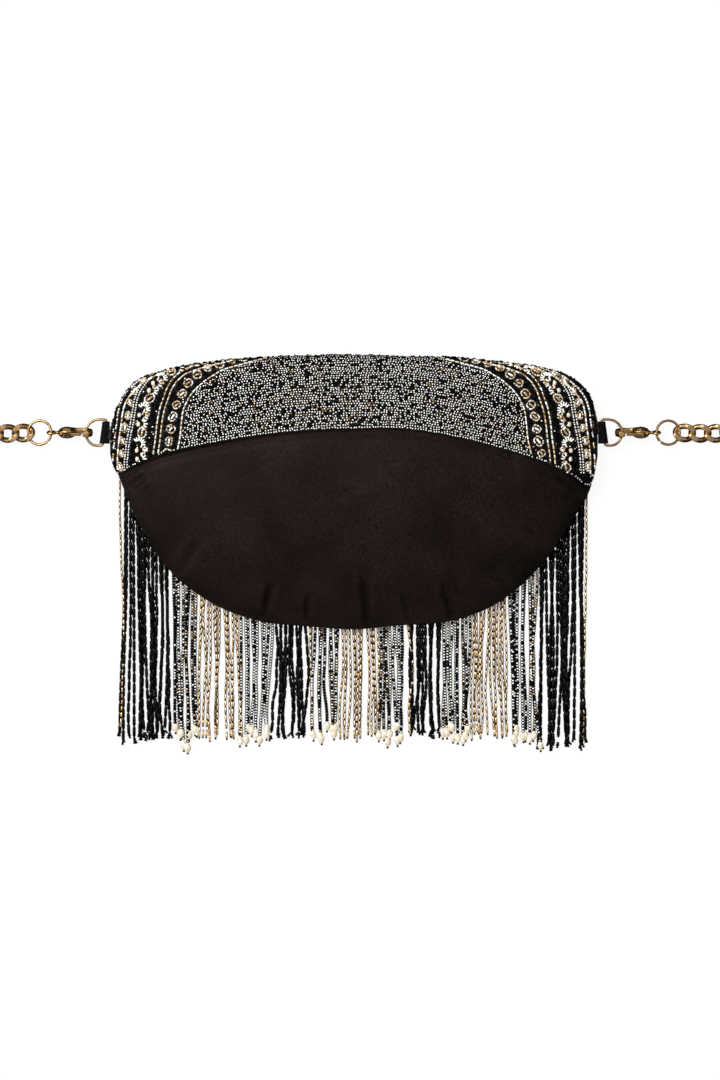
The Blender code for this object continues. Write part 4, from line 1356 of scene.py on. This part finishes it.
def model_pearl(name):
    """A rice pearl, a unit long and wide, along Z."""
    deselect()
    bpy.ops.mesh.primitive_uv_sphere_add(segments=12, ring_count=8, radius=0.5)
    pearl = bpy.context.object
    pearl.name = name
    for vert in pearl.data.vertices:
        vert.co.x *= 1 + 0.10 * math.cos(2.2 * math.pi * vert.co.z)
        vert.co.y *= 1 + 0.06 * math.cos(3.1 * math.pi * vert.co.z + 1)
    return pearl


# Chain


CHAIN_ROUTE = [
    (195.4, 0.0), (211.0, 6.0), (221.0, 23.0), (225.5, 56.0), (227.0, 105.0), (225.5, 160.0),
    (223.0, 206.0), (210.0, 230.0), (174.0, 239.6), (110.0, 240.0), (50.0, 240.0),
]
LINK_TWIST = 1.60 * MM
LINK_FLAT = 1.90 * MM
LINK_EDGE = math.radians(38)                # a filed flat's edge stays crisp past this
CHAIN_HEIGHT = 4.4 * MM


def chain_curve():
    """A fine line along the chain's way, from the left jump ring round to the right one."""
    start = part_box("jump_ring_right")[1][0] - 3.1 * MM
    half = [(start, 0.0)] + [(x * MM, y * MM) for x, y in CHAIN_ROUTE]
    route = np.array([(-x, y) for x, y in half] + [(x, y) for x, y in reversed(half)])
    curve = []
    for i in range(len(route) - 1):
        before, after = route[max(i - 1, 0)], route[min(i + 2, len(route) - 1)]
        here, there = route[i], route[i + 1]
        for s in np.arange(24) / 24:
            curve.append(0.5 * (
                2 * here + (there - before) * s + (2 * before - 5 * here + 4 * there - after) * s * s
                + (3 * here - before - 3 * there + after) * s ** 3
            ))
    curve.append(route[-1])
    return np.array(curve)


def model_link(sizes, hand):
    """A curb link: an oval ring of round wire, twisted so that its neighbours lie flat in
    it, with its top and bottom filed flat. The link between the two hands is only tilted."""
    long = (sizes.link_length - sizes.link_wire) / 2
    wide = (sizes.link_width - sizes.link_wire) / 2
    deselect()
    bpy.ops.mesh.primitive_torus_add(
        major_segments=28, minor_segments=10, major_radius=wide, minor_radius=sizes.link_wire / 2
    )
    link = bpy.context.object
    link.name = "curb_link"
    for vert in link.data.vertices:
        angle = math.atan2(vert.co.y, vert.co.x)
        out = math.hypot(vert.co.x, vert.co.y) - wide
        vert.co.x = (long + out) * math.cos(angle)
        rise = LINK_TWIST * (hand * math.sin(2 * angle) if hand else math.sin(angle))
        vert.co.z = vert.co.z + rise
        vert.co.z = max(-LINK_FLAT, min(LINK_FLAT, vert.co.z))
    return link


def make_curb_chain(sizes, colours):
    """The curb chain: one modelled link, copied along the chain's way, each in the last."""
    curve = chain_curve()
    lengths = np.concatenate([[0], np.cumsum(np.hypot(*np.diff(curve, axis=0).T))])
    inset = (sizes.link_length - sizes.link_wire) / 2
    free = lengths[-1] - 2 * inset
    count = int(round(free / sizes.link_pitch)) + 1
    at = np.linspace(inset, lengths[-1] - inset, count)
    x, y = np.interp(at, lengths, curve[:, 0]), np.interp(at, lengths, curve[:, 1])
    ahead = np.minimum(at + 2 * MM, lengths[-1])
    behind = np.maximum(at - 2 * MM, 0)
    way = unit(np.column_stack([
        np.interp(ahead, lengths, curve[:, 0]) - np.interp(behind, lengths, curve[:, 0]),
        np.interp(ahead, lengths, curve[:, 1]) - np.interp(behind, lengths, curve[:, 1]),
    ]))
    links = {hand: model_link(sizes, hand) for hand in (-1, 0, 1)}
    faces = np.array([list(face.vertices) for face in links[0].data.polygons])
    verts = []
    for i in range(count):
        hand = (i > count // 2) - (i < count // 2)
        shape = np.array([v.co for v in links[hand].data.vertices])
        verts.append(np.column_stack([
            x[i] + way[i, 0] * shape[:, 0] - way[i, 1] * shape[:, 1],
            y[i] + CHAIN_LEVEL + way[i, 1] * shape[:, 0] + way[i, 0] * shape[:, 1],
            CHAIN_HEIGHT / 2 + shape[:, 2],
        ]))
    verts = np.array(verts)
    corners = (faces[None] + (np.arange(count) * verts.shape[1])[:, None, None]).reshape(-1)
    drop(*links.values())
    chain = mesh_piece("curb_chain", verts.reshape(-1, 3), corners, np.arange(0, len(corners), 4))
    chain.data.materials.append(material_named("antique_gold_plate", gold_material))
    pick(chain)
    bpy.ops.object.shade_smooth_by_angle(angle=LINK_EDGE)
    carry(chain, ["chain"])
    return chain


# Stage


VIEW_CENTRE = (3.2 * MM, -93.4 * MM)
VIEW_HEIGHT = 568.0 * MM
CAMERA_HEIGHT = 1.9
SENSOR = 36                                 # mm
FLOOR_SIDE, FLOOR_GAP = 12, 0.1 * MM        # metres, and how far the floor lies under the bag
SOFTBOXES = [
    # name, place, size, power (metres and watts)
    ("overhead_softbox", (-0.25, 0.35, 2.5), 5.2, 66.0),
    ("key_softbox", (-1.3, 0.9, 2.0), 1.1, 58.0),
    ("left_softbox", (-3.2, -0.8, 1.3), 2.4, 34.0),
    ("right_softbox", (3.2, 0.6, 1.3), 2.4, 22.0),
    ("near_softbox", (0.4, -3.2, 1.3), 2.4, 18.0),
    ("far_softbox", (-0.4, 3.4, 1.3), 2.4, 26.0),
]


def make_stage(sizes, colours):
    """Floor, soft lights, world and camera."""
    deselect()
    bpy.ops.mesh.primitive_plane_add(size=1)
    floor = bpy.context.object
    floor.name = "studio_floor"
    bpy.ops.object.mode_set(mode="EDIT")
    bpy.ops.mesh.select_all(action="SELECT")
    bpy.ops.transform.resize(value=(FLOOR_SIDE, FLOOR_SIDE, 1))
    bpy.ops.transform.translate(value=(0, 0, -FLOOR_GAP))
    bpy.ops.mesh.subdivide(number_cuts=3)
    bpy.ops.object.mode_set(mode="OBJECT")
    floor.data.materials.append(material_named("pale_studio_floor", floor_material))
    floor.visible_glossy = False

    for name, place, size_m, power in SOFTBOXES:
        deselect()
        bpy.ops.object.light_add(type="AREA", location=place)
        light = bpy.context.object
        light.name = name
        light.data.shape = "SQUARE"
        light.data.size = size_m
        light.data.energy = power
        light.rotation_euler = (-Vector(place)).to_track_quat("-Z", "Y").to_euler()

    world = bpy.data.worlds.new("studio_world")
    world.use_nodes = True
    sky = world.node_tree.nodes["Background"]
    sky.inputs["Color"].default_value = (1, 1, 1, 1)
    sky.inputs["Strength"].default_value = 1.0
    # The pale surroundings show behind the bag but don't light it: the softboxes do
    for ray in ("diffuse", "glossy", "transmission", "scatter"):
        setattr(world.cycles_visibility, ray, False)
    bpy.context.scene.world = world
    bpy.context.scene.view_settings.view_transform = "Standard"

    deselect()
    bpy.ops.object.camera_add(location=(*VIEW_CENTRE, CAMERA_HEIGHT), rotation=(0, 0, 0))
    camera = bpy.context.object
    camera.name = "overhead_camera"
    camera.data.type = "PERSP"
    camera.data.sensor_width = SENSOR
    camera.data.lens = SENSOR * CAMERA_HEIGHT / VIEW_HEIGHT
    camera.data.clip_end = 50
    bpy.context.scene.camera = camera


HARDWARE = [
    # node, voxel in mm, rounds of smoothing
    ("d_ring", 0.16, 6),
    ("jump_ring", 0.16, 6),
    ("clasp_lever", 0.14, 4),
    ("clasp", 0.15, 5),
]


def round_off(name, voxel, rounds):
    """A cast or bent metal part: its solid, with its facets rounded off as by polishing."""
    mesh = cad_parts[name].data.copy()
    mesh.materials.clear()
    piece = bpy.data.objects.new(name + "_plated", mesh)
    bpy.context.collection.objects.link(piece)
    pick(piece)
    bpy.ops.object.mode_set(mode="EDIT")
    bpy.ops.mesh.select_all(action="SELECT")
    bpy.ops.mesh.remove_doubles(threshold=0.001 * MM)
    bpy.ops.object.mode_set(mode="OBJECT")
    apply_modifier(piece, "REMESH", mode="VOXEL", voxel_size=voxel * MM)
    apply_modifier(piece, "SMOOTH", factor=0.5, iterations=rounds)
    piece.data.shade_smooth()
    piece.data.materials.append(material_named("antique_gold_plate", gold_material))
    return piece


def make_hardware(sizes, colours):
    """The D rings, the clasps with their levers, and the jump rings."""
    for kind, voxel, rounds in HARDWARE:
        for side in ("left", "right"):
            name = kind + "_" + side
            body = "lever_" + side if kind == "clasp_lever" else BODY
            carry(round_off(name, voxel, rounds), [name], body)


STITCH_LENGTH = 1.3 * MM
STITCH_WIDTH = 0.32 * MM
STITCH_PITCH = 1.9 * MM
STITCH_INSET = 1.1 * MM


def make_straps(sizes, colours):
    """The leather tabs, and the stitches along both edges of each."""
    strap = material_named("black_leather_strap", strap_material)
    thread = material_named("waxed_black_thread", thread_material)
    for side in ("left", "right"):
        name = "tab_" + side
        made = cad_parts[name]
        made.data.materials.clear()
        made.data.materials.append(strap)
        low, high = np.array(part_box(name)[0]), np.array(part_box(name)[1])
        stitches = Beads()
        for level in (low[1] + STITCH_INSET, high[1] - STITCH_INSET):
            at = np.arange(low[0] + STITCH_PITCH, high[0] - STITCH_PITCH, STITCH_PITCH)
            places = np.column_stack([at, np.full(len(at), level), np.full(len(at), high[2])])
            stitches.add(
                places, np.tile([1.0, 0.0, 0.0], (len(at), 1)), np.repeat(UP, len(at), axis=0),
                STITCH_LENGTH, STITCH_WIDTH, BLACK, 0.5,
            )
        model = model_bead("stitch")
        piece = stitches.piece("tab_stitches_" + side, model, colours)
        drop(model)
        piece.data.materials.clear()
        piece.data.materials.append(thread)
        carry(piece)


# Add-on


def bag_values(context):
    """The bag's sizes and colours."""
    return context.scene.belt_bag_sizes, context.scene.belt_bag_colours


class BELTBAG_OT_stage(bpy.types.Operator):
    """Adds the floor, the soft lights and the camera."""

    bl_idname = "beltbag.stage"
    bl_label = "Stage"

    def execute(self, context):
        make_stage(*bag_values(context))
        return {"FINISHED"}


class BELTBAG_OT_pouch(bpy.types.Operator):
    """Adds the padded satin pouch."""

    bl_idname = "beltbag.pouch"
    bl_label = "Satin pouch"

    def execute(self, context):
        make_satin_pouch(*bag_values(context))
        return {"FINISHED"}


class BELTBAG_OT_flap_cloth(bpy.types.Operator):
    """Adds the cloth under the flap's beads."""

    bl_idname = "beltbag.flap_cloth"
    bl_label = "Flap cloth"

    def execute(self, context):
        make_flap_cloth(*bag_values(context))
        return {"FINISHED"}


class BELTBAG_OT_flap_beads(bpy.types.Operator):
    """Sews the beads on the flap."""

    bl_idname = "beltbag.flap_beads"
    bl_label = "Flap beads"

    def execute(self, context):
        make_flap_beads(*bag_values(context))
        return {"FINISHED"}


class BELTBAG_OT_fringe(bpy.types.Operator):
    """Adds the fringe's strands."""

    bl_idname = "beltbag.fringe"
    bl_label = "Bead fringe"

    def execute(self, context):
        make_fringe_strands(*bag_values(context))
        return {"FINISHED"}


class BELTBAG_OT_chain(bpy.types.Operator):
    """Adds the curb chain."""

    bl_idname = "beltbag.chain"
    bl_label = "Curb chain"

    def execute(self, context):
        make_curb_chain(*bag_values(context))
        return {"FINISHED"}


class BELTBAG_OT_hardware(bpy.types.Operator):
    """Adds the D rings, clasps and jump rings."""

    bl_idname = "beltbag.hardware"
    bl_label = "Rings and clasps"

    def execute(self, context):
        make_hardware(*bag_values(context))
        return {"FINISHED"}


class BELTBAG_OT_straps(bpy.types.Operator):
    """Finishes the tabs and adds their stitches."""

    bl_idname = "beltbag.straps"
    bl_label = "Straps"

    def execute(self, context):
        make_straps(*bag_values(context))
        return {"FINISHED"}


OPERATORS = [
    BELTBAG_OT_stage,
    BELTBAG_OT_pouch,
    BELTBAG_OT_flap_cloth,
    BELTBAG_OT_flap_beads,
    BELTBAG_OT_fringe,
    BELTBAG_OT_chain,
    BELTBAG_OT_hardware,
    BELTBAG_OT_straps,
]


class BELTBAG_PT_panel(bpy.types.Panel):
    """Lists the bag's sizes, colours and makers."""

    bl_label = "Belt Bag"
    bl_idname = "BELTBAG_PT_panel"
    bl_space_type = "VIEW_3D"
    bl_region_type = "UI"
    bl_category = "Belt Bag"

    def draw(self, context):
        for group in bag_values(context):
            for name in group.__annotations__:
                self.layout.prop(group, name)
        for made in OPERATORS:
            self.layout.operator(made.bl_idname)


CLASSES = [BeltBagSizes, BeltBagColours, *OPERATORS, BELTBAG_PT_panel]


def register():
    for made in CLASSES:
        bpy.utils.register_class(made)
    bpy.types.Scene.belt_bag_sizes = PointerProperty(type=BeltBagSizes)
    bpy.types.Scene.belt_bag_colours = PointerProperty(type=BeltBagColours)


def unregister():
    del bpy.types.Scene.belt_bag_sizes
    del bpy.types.Scene.belt_bag_colours
    for made in reversed(CLASSES):
        bpy.utils.unregister_class(made)


def main():
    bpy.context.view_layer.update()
    register()
    bpy.ops.beltbag.stage()
    bpy.ops.beltbag.pouch()
    bpy.ops.beltbag.flap_cloth()
    bpy.ops.beltbag.flap_beads()
    bpy.ops.beltbag.fringe()
    bpy.ops.beltbag.chain()
    bpy.ops.beltbag.hardware()
    bpy.ops.beltbag.straps()


if __name__ == "__main__":
    main()
